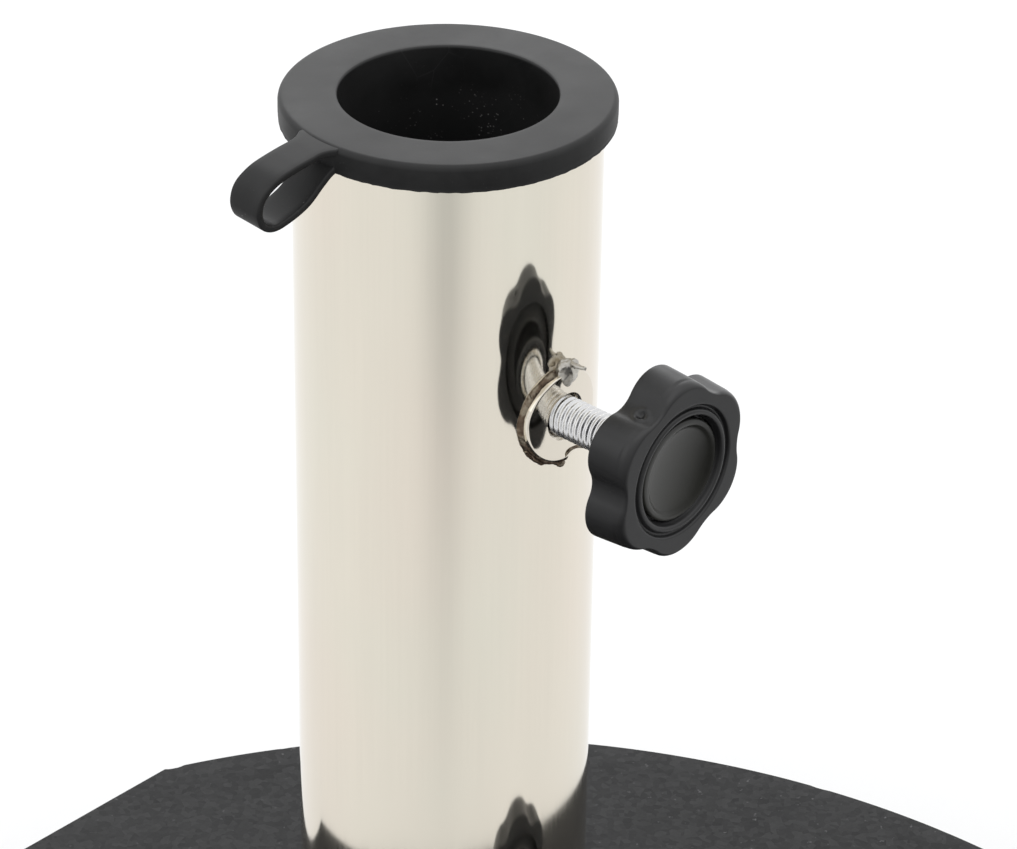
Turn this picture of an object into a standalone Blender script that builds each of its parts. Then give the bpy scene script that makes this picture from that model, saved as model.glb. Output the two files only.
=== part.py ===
"""Parasol base: round granite slab with one flat, stainless pole tube with two
clamping screws, and a plastic reducer with a pull loop.

Metres, +Z up.  The slab stands on four rubber pads on z = 0.  The origin is the
centre of the footprint's bounding box on the floor; the pole axis is the vertical
line x = 0, y = AXIS_Y.  The flat of the slab faces +Y and the clamping screws
stand out towards -Y.
"""
import bpy
import bmesh
import math
from mathutils import Vector, Matrix

MM = 0.001

# ---- driving dimensions, millimetres -------------------------------------------
GAP = 0.3                 # clearance kept between pieces that touch

SLAB_R = 200.0            # granite disc radius
SLAB_FLAT = 182.2         # distance of the flat from the disc centre
SLAB_T = 58.0             # slab thickness
SLAB_CH_TOP = 0.8         # broken top edge
SLAB_CH_LOW = 2.0         # chamfer under the slab
SLAB_SEG = 72
POLE_SHIFT = 6.6          # the pole stands this far from the disc's centre, towards the flat
AXIS_Y = (SLAB_R - SLAB_FLAT) / 2.0 + POLE_SHIFT      # pole axis; the footprint box is centred

FOOT_T = 5.0              # rubber pad height under the slab
FOOT_R = 19.0
FOOT_PCD_R = 150.0

RECESS_R = 32.0           # recess under the slab for the anchor bolt
RECESS_D = 18.0
BOLT_HOLE_R = 7.0

TUBE_R = 29.0             # pole tube, 58 mm outside
TUBE_WALL = 1.2
TUBE_SEG = 48
PLUG_T = 12.0             # foot plug welded into the tube's lower end

FLANGE_R = 31.4           # reducer flange
FLANGE_T = 5.4
HOLE_R = 20.4             # pole hole in the reducer
SLEEVE_R = 23.0
SLEEVE_L = 35.0
RIB_R = 27.4
RIB_W = 1.8
RIB_N = 8

TOTAL_H = 342.0           # top of the reducer flange
UPPER_DROP = 57.0         # upper screw axis below the flange top
SCREW_PITCH_Z = 123.5     # distance between the two screw axes

BOSS_R = 9.2              # welded threaded bush
BOSS_BORE = 4.25
BOSS_IN = 25.0            # inner and outer face, from the pole axis
BOSS_OUT = 30.8
STUD_R = 3.9              # M8 stud
STUD_TIP = 24.6
STUD_END = 54.0
PAD_TIP = 22.6            # swivel pad on the stud's tip
PAD_R = 3.1
PAD_STEM_R = 1.4
HUB_BACK = 46.0           # back of the knob's hub
RIM_BACK = 50.8
FACE = 59.5               # front face plane of the knob
LOBE_R = 18.5
VALLEY_R = 15.5
LOBES = 6
LOBE_ARC = 7.0            # radius of a lobe's crown
LOBE_TURN = -1.9          # degrees, as the knob stands
INSERT_R = 5.6
CAP_R = 10.1

LOOP_AZ = 174.4           # direction of the pull loop, degrees
LOOP_W = 8.2
LOOP_T = 1.4

SLAB_TOP = FOOT_T + SLAB_T
FLANGE_LOW = TOTAL_H - FLANGE_T
Z_UPPER = TOTAL_H - UPPER_DROP
Z_LOWER = Z_UPPER - SCREW_PITCH_Z


# ---- small helpers ---------------------------------------------------------------
def clear_scene():
    for ob in list(bpy.data.objects):
        bpy.data.objects.remove(ob, do_unlink=True)


def srgb(r, g, b):
    def lin(c):
        c /= 255.0
        return c / 12.92 if c <= 0.04045 else ((c + 0.055) / 1.055) ** 2.4
    return (lin(r), lin(g), lin(b), 1.0)


MATS = {}


def material(name, colour, rough, metal):
    if name not in MATS:
        m = bpy.data.materials.new(name)
        m.use_nodes = True
        p = m.node_tree.nodes["Principled BSDF"]
        p.inputs["Base Color"].default_value = colour
        p.inputs["Roughness"].default_value = rough
        p.inputs["Metallic"].default_value = metal
        m.diffuse_color = colour
        MATS[name] = m
    return MATS[name]


def new_empty(name, loc, rot=(0, 0, 0)):
    e = bpy.data.objects.new(name, None)
    e.empty_display_size = 0.02
    e.location = Vector(loc) * MM
    e.rotation_euler = rot
    bpy.context.scene.collection.objects.link(e)
    return e


def finish_mesh(bm, name, mat, parent=None, loc=(0, 0, 0), rot=(0, 0, 0), cutter=False):
    """Weld, orient outwards, shade and link one closed body."""
    bmesh.ops.remove_doubles(bm, verts=bm.verts, dist=0.000002)
    bmesh.ops.dissolve_degenerate(bm, edges=bm.edges, dist=0.000002)
    bmesh.ops.recalc_face_normals(bm, faces=bm.faces)
    me = bpy.data.meshes.new(name)
    bm.to_mesh(me)
    bm.free()
    me.shade_smooth()
    me.set_sharp_from_angle(angle=math.radians(32))
    ob = bpy.data.objects.new(name, me)
    bpy.context.scene.collection.objects.link(ob)
    if parent is not None:
        ob.parent = parent
    ob.location = Vector(loc) * MM
    ob.rotation_euler = rot
    if cutter:
        ob.hide_render = True
        ob.display_type = 'WIRE'
    else:
        me.materials.append(mat)
    return ob


def turned(profile, seg):
    """Closed (radius, height) profile in mm spun about Z."""
    bm = bmesh.new()
    vs = [bm.verts.new((r * MM, 0.0, z * MM)) for r, z in profile]
    es = [bm.edges.new((vs[i], vs[(i + 1) % len(vs)])) for i in range(len(vs))
          if not (profile[i][0] == 0.0 and profile[(i + 1) % len(vs)][0] == 0.0)]
    bmesh.ops.spin(bm, geom=vs + es, cent=(0, 0, 0), axis=(0, 0, 1), dvec=(0, 0, 0),
                   angle=2 * math.pi, steps=seg, use_merge=True, use_duplicate=False)
    return bm


def stack(rings, closed_ring=False):
    """Skin a list of rings that all have the same number of points (mm)."""
    bm = bmesh.new()
    loops = [[bm.verts.new(Vector(p) * MM) for p in ring] for ring in rings]
    n = len(loops[0])
    pairs = list(zip(loops, loops[1:]))
    if closed_ring:
        pairs.append((loops[-1], loops[0]))
    for a, b in pairs:
        for i in range(n):
            j = (i + 1) % n
            bm.faces.new((a[i], a[j], b[j], b[i]))
    if not closed_ring:
        bm.faces.new(loops[0])
        bm.faces.new(list(reversed(loops[-1])))
    return bm


def cut(ob, cutter):
    m = ob.modifiers.new("cut_" + cutter.name, 'BOOLEAN')
    m.operation = 'DIFFERENCE'
    m.solver = 'EXACT'
    m.object = cutter


def join(ob, other):
    m = ob.modifiers.new("join_" + other.name, 'BOOLEAN')
    m.operation = 'UNION'
    m.solver = 'EXACT'
    m.object = other


def smooth_path(pts, steps):
    """Catmull-Rom curve through 2-D points, sampled steps times per span."""
    out = []
    for i in range(len(pts) - 1):
        p0 = pts[max(i - 1, 0)]
        p1, p2 = pts[i], pts[i + 1]
        p3 = pts[min(i + 2, len(pts) - 1)]
        for k in range(steps):
            t = k / steps
            out.append(tuple(
                0.5 * ((2 * p1[c]) + (p2[c] - p0[c]) * t
                       + (2 * p0[c] - 5 * p1[c] + 4 * p2[c] - p3[c]) * t * t
                       + (3 * p1[c] - p0[c] - 3 * p2[c] + p3[c]) * t ** 3)
                for c in (0, 1)))
    out.append(tuple(pts[-1]))
    return out


clear_scene()

granite = material("granite", srgb(62, 62, 64), 0.42, 0.0)
rubber = material("rubber", srgb(28, 28, 28), 0.85, 0.0)
steel_polished = material("steel_polished", srgb(222, 214, 200), 0.09, 1.0)
steel_plain = material("steel_plain", srgb(170, 168, 164), 0.35, 1.0)
zinc = material("zinc", srgb(205, 205, 205), 0.25, 1.0)
knob_plastic = material("knob_plastic", srgb(38, 38, 39), 0.40, 0.0)
cap_plastic = material("cap_plastic", srgb(52, 52, 48), 0.30, 0.0)
reducer_plastic = material("reducer_plastic", srgb(56, 56, 57), 0.50, 0.0)
nylon = material("nylon", srgb(225, 222, 210), 0.45, 0.0)

pole_axis = new_empty("pole_axis", (0, AXIS_Y, 0))


# ---- slab -------------------------------------------------------------------------
def slab_outline(inset, z):
    """Disc with one flat, moved inwards by inset; the flat is the closing edge."""
    r, d = SLAB_R - inset, SLAB_FLAT - inset
    half = math.degrees(math.acos(d / r))
    a0, a1 = 90.0 + half, 450.0 - half
    n = SLAB_SEG
    return [(r * math.cos(math.radians(a0 + (a1 - a0) * i / n)),
             r * math.sin(math.radians(a0 + (a1 - a0) * i / n)) - POLE_SHIFT, z) for i in range(n + 1)]


slab_bm = stack([slab_outline(SLAB_CH_LOW, FOOT_T),
                 slab_outline(0.0, FOOT_T + SLAB_CH_LOW),
                 slab_outline(0.0, SLAB_TOP - SLAB_CH_TOP),
                 slab_outline(SLAB_CH_TOP, SLAB_TOP)])
slab = finish_mesh(slab_bm, "granite_slab", granite, pole_axis)
bore_bm = turned([(0.0, FOOT_T - 5.0), (RECESS_R, FOOT_T - 5.0),
                  (RECESS_R, FOOT_T + RECESS_D), (BOLT_HOLE_R, FOOT_T + RECESS_D),
                  (BOLT_HOLE_R, SLAB_TOP + 5.0), (0.0, SLAB_TOP + 5.0)], 32)
bore = finish_mesh(bore_bm, "slab_bore_cutter", None, pole_axis, cutter=True)
cut(slab, bore)

for tag, az in (("front_right", -45), ("front_left", -135), ("rear_right", 45), ("rear_left", 135)):
    a = math.radians(az)
    bm = turned([(0.0, 0.0), (FOOT_R - 2.2, 0.0), (FOOT_R - 0.6, 0.8), (FOOT_R, FOOT_T - 1.6),
                 (FOOT_R - 0.4, FOOT_T - GAP), (0.0, FOOT_T - GAP)], 24)
    finish_mesh(bm, "foot_pad_" + tag, rubber, pole_axis,
                loc=(FOOT_PCD_R * math.cos(a), FOOT_PCD_R * math.sin(a) - POLE_SHIFT, 0.0))


# ---- anchor bolt under the slab ---------------------------------------------------
ceiling = FOOT_T + RECESS_D
washer_t, spring_t, head_t = 4.0, 3.0, 7.5
z_w = ceiling - GAP - washer_t
z_s = z_w - GAP - spring_t
z_h = z_s - GAP - head_t

bm = turned([(6.8, z_w), (28.0 - 0.6, z_w), (28.0, z_w + 0.6), (28.0, z_w + washer_t - 0.3),
             (27.7, z_w + washer_t), (6.8, z_w + washer_t)], 32)
finish_mesh(bm, "anchor_washer", zinc, pole_axis)

# split spring washer: a bar swept round all but a small gap
rings = []
for i in range(29):
    t = math.radians(4.0 + 352.0 * i / 28)
    ring = []
    for r, z in ((6.6, z_s), (10.6, z_s), (10.6, z_s + spring_t), (6.6, z_s + spring_t)):
        ring.append((r * math.cos(t), r * math.sin(t), z))
    rings.append(ring)
finish_mesh(stack(rings), "spring_washer", zinc, pole_axis)

# hexagon head with a chamfered underside, and its shank
hex_r = 9.0 / math.cos(math.radians(30))
head_rings = []
for z, k in ((z_h, 0.90), (z_h + 1.0, 1.0), (z_h + head_t, 1.0)):
    ring = []
    for i in range(24):
        a = 2 * math.pi * i / 24
        b = (a + math.pi / 6) % (math.pi / 3) - math.pi / 6
        r_hex = 9.0 / math.cos(b)
        r = r_hex if k == 1.0 else min(r_hex, hex_r * k)
        ring.append((r * math.cos(a), r * math.sin(a), z))
    head_rings.append(ring)
for r, z in ((5.85, z_h + head_t), (5.85, z_h + head_t + 51.5), (5.0, z_h + head_t + 52.5)):
    head_rings.append([(r * math.cos(2 * math.pi * i / 24), r * math.sin(2 * math.pi * i / 24), z)
                       for i in range(24)])
finish_mesh(stack(head_rings), "anchor_bolt", zinc, pole_axis)
BOLT_TOP = z_h + head_t + 52.5


# ---- pole tube and its foot plug ---------------------------------------------------
tube_low = SLAB_TOP + GAP
tube_top = FLANGE_LOW - GAP
r_in = TUBE_R - TUBE_WALL
bm = turned([(r_in, tube_low), (TUBE_R, tube_low), (TUBE_R, tube_top), (r_in, tube_top)], TUBE_SEG)
tube = finish_mesh(bm, "pole_tube", steel_polished, pole_axis)

plug_top = tube_low + PLUG_T
bm = turned([(6.2, tube_low), (r_in - GAP - 0.5, tube_low), (r_in - GAP, tube_low + 0.5),
             (r_in - GAP, plug_top - 1.0), (r_in - GAP - 1.0, plug_top), (0.0, plug_top),
             (0.0, BOLT_TOP + 2.0), (6.2, BOLT_TOP + 1.0)], 32)
finish_mesh(bm, "tube_foot_plug", steel_plain, pole_axis)


# ---- clamping screws ----------------------------------------------------------------
OUTWARD = (math.radians(90), 0.0, 0.0)     # local +Z points along world -Y, local +Y up


def valley_arc():
    """Radius of the valley's arc that is tangent to two neighbouring lobe arcs."""
    e = LOBE_R - LOBE_ARC
    k = math.cos(math.pi / LOBES)
    return ((e * e + VALLEY_R ** 2 - 2 * e * VALLEY_R * k - LOBE_ARC ** 2)
            / (2 * (LOBE_ARC - VALLEY_R + e * k)))


def knob_r(phi, inset, draft=0.0):
    """Six lobes of one arc joined by tangent valley arcs, lobes at 30, 90, 150 ... degrees."""
    rv = valley_arc()
    e, d = LOBE_R - LOBE_ARC, VALLEY_R + rv
    step = 2 * math.pi / LOBES
    p = abs((phi + step / 2) % step - step / 2)      # 0 in a valley, step / 2 on a lobe
    # bearing of the point where the two arcs touch
    t = rv / (rv + LOBE_ARC)
    tx = d + (e * math.cos(step / 2) - d) * t
    ty = e * math.sin(step / 2) * t
    if p <= math.atan2(ty, tx):
        r = d * math.cos(p) - math.sqrt(max(0.0, rv * rv - (d * math.sin(p)) ** 2))
    else:
        q = step / 2 - p
        r = e * math.cos(q) + math.sqrt(LOBE_ARC ** 2 - (e * math.sin(q)) ** 2)
    return r - inset - draft * (r - VALLEY_R) / (LOBE_R - VALLEY_R)


def knob_ring(inset, a, draft=0.0, n=36):
    return [(knob_r(2 * math.pi * i / n, inset, draft) * math.cos(2 * math.pi * i / n),
             knob_r(2 * math.pi * i / n, inset, draft) * math.sin(2 * math.pi * i / n), a)
            for i in range(n)]


def round_ring(r, a, n=36):
    return [(r * math.cos(2 * math.pi * i / n), r * math.sin(2 * math.pi * i / n), a)
            for i in range(n)]


for tag, height, turn in (("upper", Z_UPPER, 0.0), ("lower", Z_LOWER, 7.0)):
    axis = new_empty(tag + "_screw_axis", (0, AXIS_Y, height), OUTWARD)
    knob_turn = (0.0, 0.0, math.radians(turn + LOBE_TURN))

    hole = finish_mesh(turned([(0.0, 15.0), (BOSS_R + GAP, 15.0), (BOSS_R + GAP, 40.0), (0.0, 40.0)], 24),
                       tag + "_boss_hole_cutter", None, axis, cutter=True)
    cut(tube, hole)

    bm = turned([(BOSS_BORE, BOSS_IN), (BOSS_R, BOSS_IN), (BOSS_R, BOSS_OUT - 0.5),
                 (BOSS_R - 0.5, BOSS_OUT), (BOSS_BORE + 0.7, BOSS_OUT), (BOSS_BORE, BOSS_OUT - 0.7)], 24)
    finish_mesh(bm, tag + "_threaded_boss", steel_polished, axis)

    bm = turned([(0.0, STUD_TIP + 5.0), (PAD_STEM_R + GAP, STUD_TIP + 5.0), (PAD_STEM_R + GAP, STUD_TIP),
                 (STUD_R - 0.7, STUD_TIP), (STUD_R, STUD_TIP + 0.7), (STUD_R, STUD_END),
                 (0.0, STUD_END)], 24)
    finish_mesh(bm, tag + "_stud", zinc, axis)

    bm = turned([(0.0, PAD_TIP), (PAD_R - 0.5, PAD_TIP), (PAD_R, PAD_TIP + 0.5),
                 (PAD_R, STUD_TIP - GAP), (PAD_STEM_R, STUD_TIP - GAP),
                 (PAD_STEM_R, STUD_TIP + 4.2), (0.0, STUD_TIP + 4.2)], 20)
    finish_mesh(bm, tag + "_thrust_pad", nylon, axis)

    bm = turned([(STUD_R + GAP, HUB_BACK - GAP), (INSERT_R, HUB_BACK - GAP),
                 (INSERT_R, STUD_END - GAP), (STUD_R + GAP, STUD_END - GAP)], 24)
    finish_mesh(bm, tag + "_hub_insert", zinc, axis)

    # knob: back hub, hollow ring, lobed grip, rounded front edge, groove, ring, cap seat
    rings = [round_ring(INSERT_R + GAP, STUD_END + GAP),
             round_ring(INSERT_R + GAP, HUB_BACK),
             round_ring(7.4, HUB_BACK),
             round_ring(7.8, HUB_BACK + 0.5),
             round_ring(8.0, RIM_BACK + 2.5),
             round_ring(12.4, RIM_BACK + 2.5),
             round_ring(12.8, RIM_BACK),
             knob_ring(0.4, RIM_BACK),
             knob_ring(0.0, RIM_BACK + 0.4),
             knob_ring(0.0, FACE - 2.0, 0.6),
             knob_ring(0.4, FACE - 0.8, 0.7),
             knob_ring(1.2, FACE, 0.8),
             round_ring(13.2, FACE),
             round_ring(12.8, FACE - 0.8),
             round_ring(12.3, FACE - 0.8),
             round_ring(11.9, FACE),
             round_ring(CAP_R + 0.9, FACE),
             round_ring(CAP_R + GAP, FACE - 0.8),
             round_ring(CAP_R + GAP, FACE - 2.6)]
    finish_mesh(stack(rings), tag + "_knob", knob_plastic, axis, rot=knob_turn)

    bm = turned([(0.0, FACE - 2.6 + GAP), (CAP_R - 0.4, FACE - 2.6 + GAP), (CAP_R, FACE - 1.9),
                 (CAP_R, FACE - 1.2), (CAP_R - 0.5, FACE - 0.9), (CAP_R - 1.6, FACE - 1.4),
                 (0.0, FACE - 1.4)], 24)
    finish_mesh(bm, tag + "_knob_cap", cap_plastic, axis)


# ---- reducer with its pull loop --------------------------------------------------------
reducer_axis = new_empty("reducer_axis", (0, AXIS_Y, TOTAL_H))
sleeve_low = -FLANGE_T - SLEEVE_L
bm = turned([(HOLE_R + 0.6, sleeve_low), (SLEEVE_R - 0.3, sleeve_low), (SLEEVE_R, sleeve_low + 0.5),
             (SLEEVE_R, -FLANGE_T), (FLANGE_R - 0.2, -FLANGE_T), (FLANGE_R, -FLANGE_T + 0.3),
             (FLANGE_R, -1.9), (FLANGE_R - 0.5, -0.8), (FLANGE_R - 1.8, 0.0),
             (HOLE_R + 0.5, 0.0), (HOLE_R + 0.15, -0.15), (HOLE_R, -0.5), (HOLE_R, sleeve_low + 1.2)], 48)
reducer = finish_mesh(bm, "reducer", reducer_plastic, reducer_axis)

for k in range(RIB_N):
    a = math.radians(22.5 + 360.0 * k / RIB_N)
    r0, r1, w = SLEEVE_R - 0.7, RIB_R, RIB_W / 2
    z0, z1 = sleeve_low + 2.5, -FLANGE_T + 0.6
    rings = [[(r0, -w, z1), (r0, w, z1), (r0, w, z0), (r0, -w, z0)],
             [(r1, -w, z1), (r1, w, z1), (r1, w, z0 + 3.0), (r1, -w, z0 + 3.0)]]
    rib = finish_mesh(stack(rings), "rib_guide_%d" % (k + 1), None, reducer_axis,
                      rot=(0, 0, a), cutter=True)
    join(reducer, rib)

# centre line of the strap in its own upright plane: radius and height under the flange top
loop_line = smooth_path([(28.0, -1.5), (33.6, -1.7), (39.2, -2.3), (43.6, -3.3), (46.7, -5.6),
                         (47.6, -8.5), (46.7, -11.2), (44.2, -12.3), (40.8, -11.8), (36.6, -10.1),
                         (33.2, -7.2), (30.9, -4.8), (29.4, -3.2)], 2)
rings = []
for i, (r, z) in enumerate(loop_line):
    p = loop_line[max(i - 1, 0)]
    q = loop_line[min(i + 1, len(loop_line) - 1)]
    tx, tz = q[0] - p[0], q[1] - p[1]
    tl = math.hypot(tx, tz)
    nx, nz = -tz / tl, tx / tl
    flare = 0.9 * max(0.0, (34.0 - r) / 3.5) ** 1.6
    w = LOOP_W / 2 + min(flare, 2.6)
    h = LOOP_T / 2
    ring = [(r + nx * t, s, z + nz * t) for s, t in ((-w, -h), (w, -h), (w, h), (-w, h))]
    rings.append(ring)
strap = finish_mesh(stack(rings), "strap_guide", None, reducer_axis,
                    rot=(0, 0, math.radians(LOOP_AZ)), cutter=True)
join(reducer, strap)
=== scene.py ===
"""Looks for the parasol base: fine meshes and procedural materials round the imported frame.

All shapes are built in millimetres about the pole axis (x = 0, y = 0 on the axis, z up from
the floor) and placed in metres in the frame's own coordinates.
"""
import bpy
import math
import numpy as np
from mathutils import Matrix, Vector, noise


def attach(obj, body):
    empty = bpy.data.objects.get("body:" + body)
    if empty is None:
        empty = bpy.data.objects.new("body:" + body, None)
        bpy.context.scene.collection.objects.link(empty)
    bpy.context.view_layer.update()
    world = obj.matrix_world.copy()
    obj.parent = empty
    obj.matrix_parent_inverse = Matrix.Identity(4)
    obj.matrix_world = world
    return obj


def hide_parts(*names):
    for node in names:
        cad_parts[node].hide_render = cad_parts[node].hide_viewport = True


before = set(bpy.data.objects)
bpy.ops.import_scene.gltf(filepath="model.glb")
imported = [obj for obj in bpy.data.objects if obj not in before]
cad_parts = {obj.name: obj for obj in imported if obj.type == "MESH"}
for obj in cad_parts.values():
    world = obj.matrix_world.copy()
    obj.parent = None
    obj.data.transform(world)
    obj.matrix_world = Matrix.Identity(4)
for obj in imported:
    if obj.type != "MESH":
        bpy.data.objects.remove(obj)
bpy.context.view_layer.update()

# ---- dimensions shared with the CAD model, mm -------------------------------------
AXIS_Y = 15.5
POLE_SHIFT = 6.6                                       # from the disc's centre to the pole
FLOOR_TO_SLAB, SLAB_TOP = 5.0, 63.0
SLAB_R, SLAB_FLAT = 200.0, 182.2
TUBE_R, TUBE_IN = 29.0, 27.8
TUBE_LOW, TUBE_TOP = 63.3, 336.3
TOP, FLANGE_LOW = 342.0, 336.6
Z_UP, Z_LO = 285.0, 161.5
BOSS_R, BOSS_BORE, BOSS_IN, BOSS_OUT = 9.2, 4.25, 25.0, 30.8
LOOP_AZ = 174.4

rng = np.random.default_rng(7)


# =============================== mesh helpers ========================================
def fbm(x, y, z, octaves=3):
    v, a, s = 0.0, 1.0, 0.0
    for _ in range(octaves):
        v += a * noise.noise(Vector((x, y, z)))
        s += a
        x, y, z, a = x * 2.03, y * 2.03, z * 2.03, a * 0.5
    return v / s


def to_world(p):
    p = np.asarray(p, float)
    out = p * 0.001
    out[:, 1] += AXIS_Y * 0.001
    return out


def signed_volume(v, faces):
    vol = 0.0
    for f in faces:
        a = v[f[0]]
        for i in range(1, len(f) - 1):
            vol += float(np.dot(a, np.cross(v[f[i]], v[f[i + 1]])))
    return vol / 6.0


def make(name, verts, faces, mat, body, stands_for=(), sharp=35.0, normals=None):
    """One closed mesh piece that rides on a body and replaces CAD nodes."""
    v = to_world(verts)
    if signed_volume(v, faces) < 0:
        faces = [tuple(reversed(f)) for f in faces]
    me = bpy.data.meshes.new(name)
    me.from_pydata(v.tolist(), [], [tuple(int(i) for i in f) for f in faces])
    me.update()
    me.shade_smooth()
    me.set_sharp_from_angle(angle=math.radians(sharp))
    if normals is not None:
        me.normals_split_custom_set(normals(me))
    me.materials.append(mat)
    ob = bpy.data.objects.new(name, me)
    bpy.context.scene.collection.objects.link(ob)
    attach(ob, body)
    if stands_for:
        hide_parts(*stands_for)
    return ob


def skin(rings, wrap=False, cap0=True, cap1=True):
    """Quads between successive closed rings of equal length."""
    n = len(rings[0])
    verts = np.vstack([np.asarray(r, float) for r in rings])
    faces = []
    m = len(rings)
    last = m if wrap else m - 1
    for k in range(last):
        a, b = k * n, ((k + 1) % m) * n
        for i in range(n):
            j = (i + 1) % n
            faces.append((a + i, a + j, b + j, b + i))
    if not wrap:
        if cap0:
            faces.append(tuple(range(n - 1, -1, -1)))
        if cap1:
            faces.append(tuple((m - 1) * n + i for i in range(n)))
    return verts, faces


def turned(profile, seg, warp=None):
    """Profile of (radius, height) spun about Z.  Radius 0 at an end closes with one vertex."""
    th = np.arange(seg) * 2 * math.pi / seg
    c, s = np.cos(th), np.sin(th)
    verts, faces, rows = [], [], []
    for r, z in profile:
        if r < 1e-9:
            rows.append(("p", len(verts)))
            verts.append((0.0, 0.0, z))
        else:
            rows.append(("r", len(verts)))
            for i in range(seg):
                verts.append((r * c[i], r * s[i], z))
    closed = profile[0][0] > 1e-9 and profile[-1][0] > 1e-9
    pairs = list(zip(rows, rows[1:])) + ([(rows[-1], rows[0])] if closed else [])
    for (ta, a), (tb, b) in pairs:
        for i in range(seg):
            j = (i + 1) % seg
            if ta == "r" and tb == "r":
                faces.append((a + i, a + j, b + j, b + i))
            elif ta == "r":
                faces.append((a + i, a + j, b))
            elif tb == "r":
                faces.append((a, b + j, b + i))
    verts = np.array(verts, float)
    if warp is not None:
        verts = warp(verts)
    return verts, faces


def arc(cx, cz, r, a0, a1, n):
    """Points on a circle of a profile, degrees, both ends included."""
    return [(cx + r * math.cos(math.radians(a0 + (a1 - a0) * i / n)),
             cz + r * math.sin(math.radians(a0 + (a1 - a0) * i / n))) for i in range(n + 1)]


def rounded(points, radii, n=5, closed=True):
    """Polyline of a profile with each corner replaced by a small arc."""
    out = []
    m = len(points)
    for i, (p, rad) in enumerate(zip(points, radii)):
        if rad <= 0 or (not closed and i in (0, m - 1)):
            out.append(tuple(p))
            continue
        a = np.array(points[(i - 1) % m], float)
        b = np.array(p, float)
        c = np.array(points[(i + 1) % m], float)
        u, v = a - b, c - b
        lu, lv = np.linalg.norm(u), np.linalg.norm(v)
        u, v = u / lu, v / lv
        ang = math.acos(max(-1.0, min(1.0, float(u @ v))))
        t = min(rad / math.tan(ang / 2), 0.49 * lu, 0.49 * lv)
        q = t * math.tan(ang / 2)
        mid = (u + v) / np.linalg.norm(u + v)
        centre = b + mid * q / math.sin(ang / 2)
        s0, s1 = b + u * t - centre, b + v * t - centre
        a0, a1 = math.atan2(s0[1], s0[0]), math.atan2(s1[1], s1[0])
        while a1 - a0 > math.pi:
            a1 -= 2 * math.pi
        while a1 - a0 < -math.pi:
            a1 += 2 * math.pi
        for k in range(n + 1):
            w = a0 + (a1 - a0) * k / n
            out.append((centre[0] + q * math.cos(w), centre[1] + q * math.sin(w)))
    return out


def densify(profile, step, closed=False):
    """Adds points so that no profile edge is longer than step."""
    out = []
    m = len(profile)
    for i in range(m if closed else m - 1):
        a, b = profile[i], profile[(i + 1) % m]
        d = math.hypot(b[0] - a[0], b[1] - a[1])
        k = max(1, int(math.ceil(d / step)))
        for t in range(k):
            out.append((a[0] + (b[0] - a[0]) * t / k, a[1] + (b[1] - a[1]) * t / k))
    if not closed:
        out.append(profile[-1])
    return out


def onto_screw(verts, zc, turn=0.0):
    """Local (x, y, a) about a screw axis to pole coordinates; a runs out along -Y."""
    v = np.asarray(verts, float)
    c, s = math.cos(turn), math.sin(turn)
    x = v[:, 0] * c - v[:, 1] * s
    y = v[:, 0] * s + v[:, 1] * c
    return np.column_stack([x, -v[:, 2], zc + y])


def catmull(pts, steps):
    pts = [np.array(p, float) for p in pts]
    out = []
    for i in range(len(pts) - 1):
        p0, p1 = pts[max(i - 1, 0)], pts[i]
        p2, p3 = pts[i + 1], pts[min(i + 2, len(pts) - 1)]
        for k in range(steps):
            t = k / steps
            out.append(0.5 * (2 * p1 + (p2 - p0) * t + (2 * p0 - 5 * p1 + 4 * p2 - p3) * t * t
                              + (3 * p1 - p0 - 3 * p2 + p3) * t ** 3))
    out.append(pts[-1])
    return out


# =============================== materials ============================================
def lin(r, g, b):
    def f(c):
        c /= 255.0
        return c / 12.92 if c <= 0.04045 else ((c + 0.055) / 1.055) ** 2.4
    return (f(r), f(g), f(b), 1.0)


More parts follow.
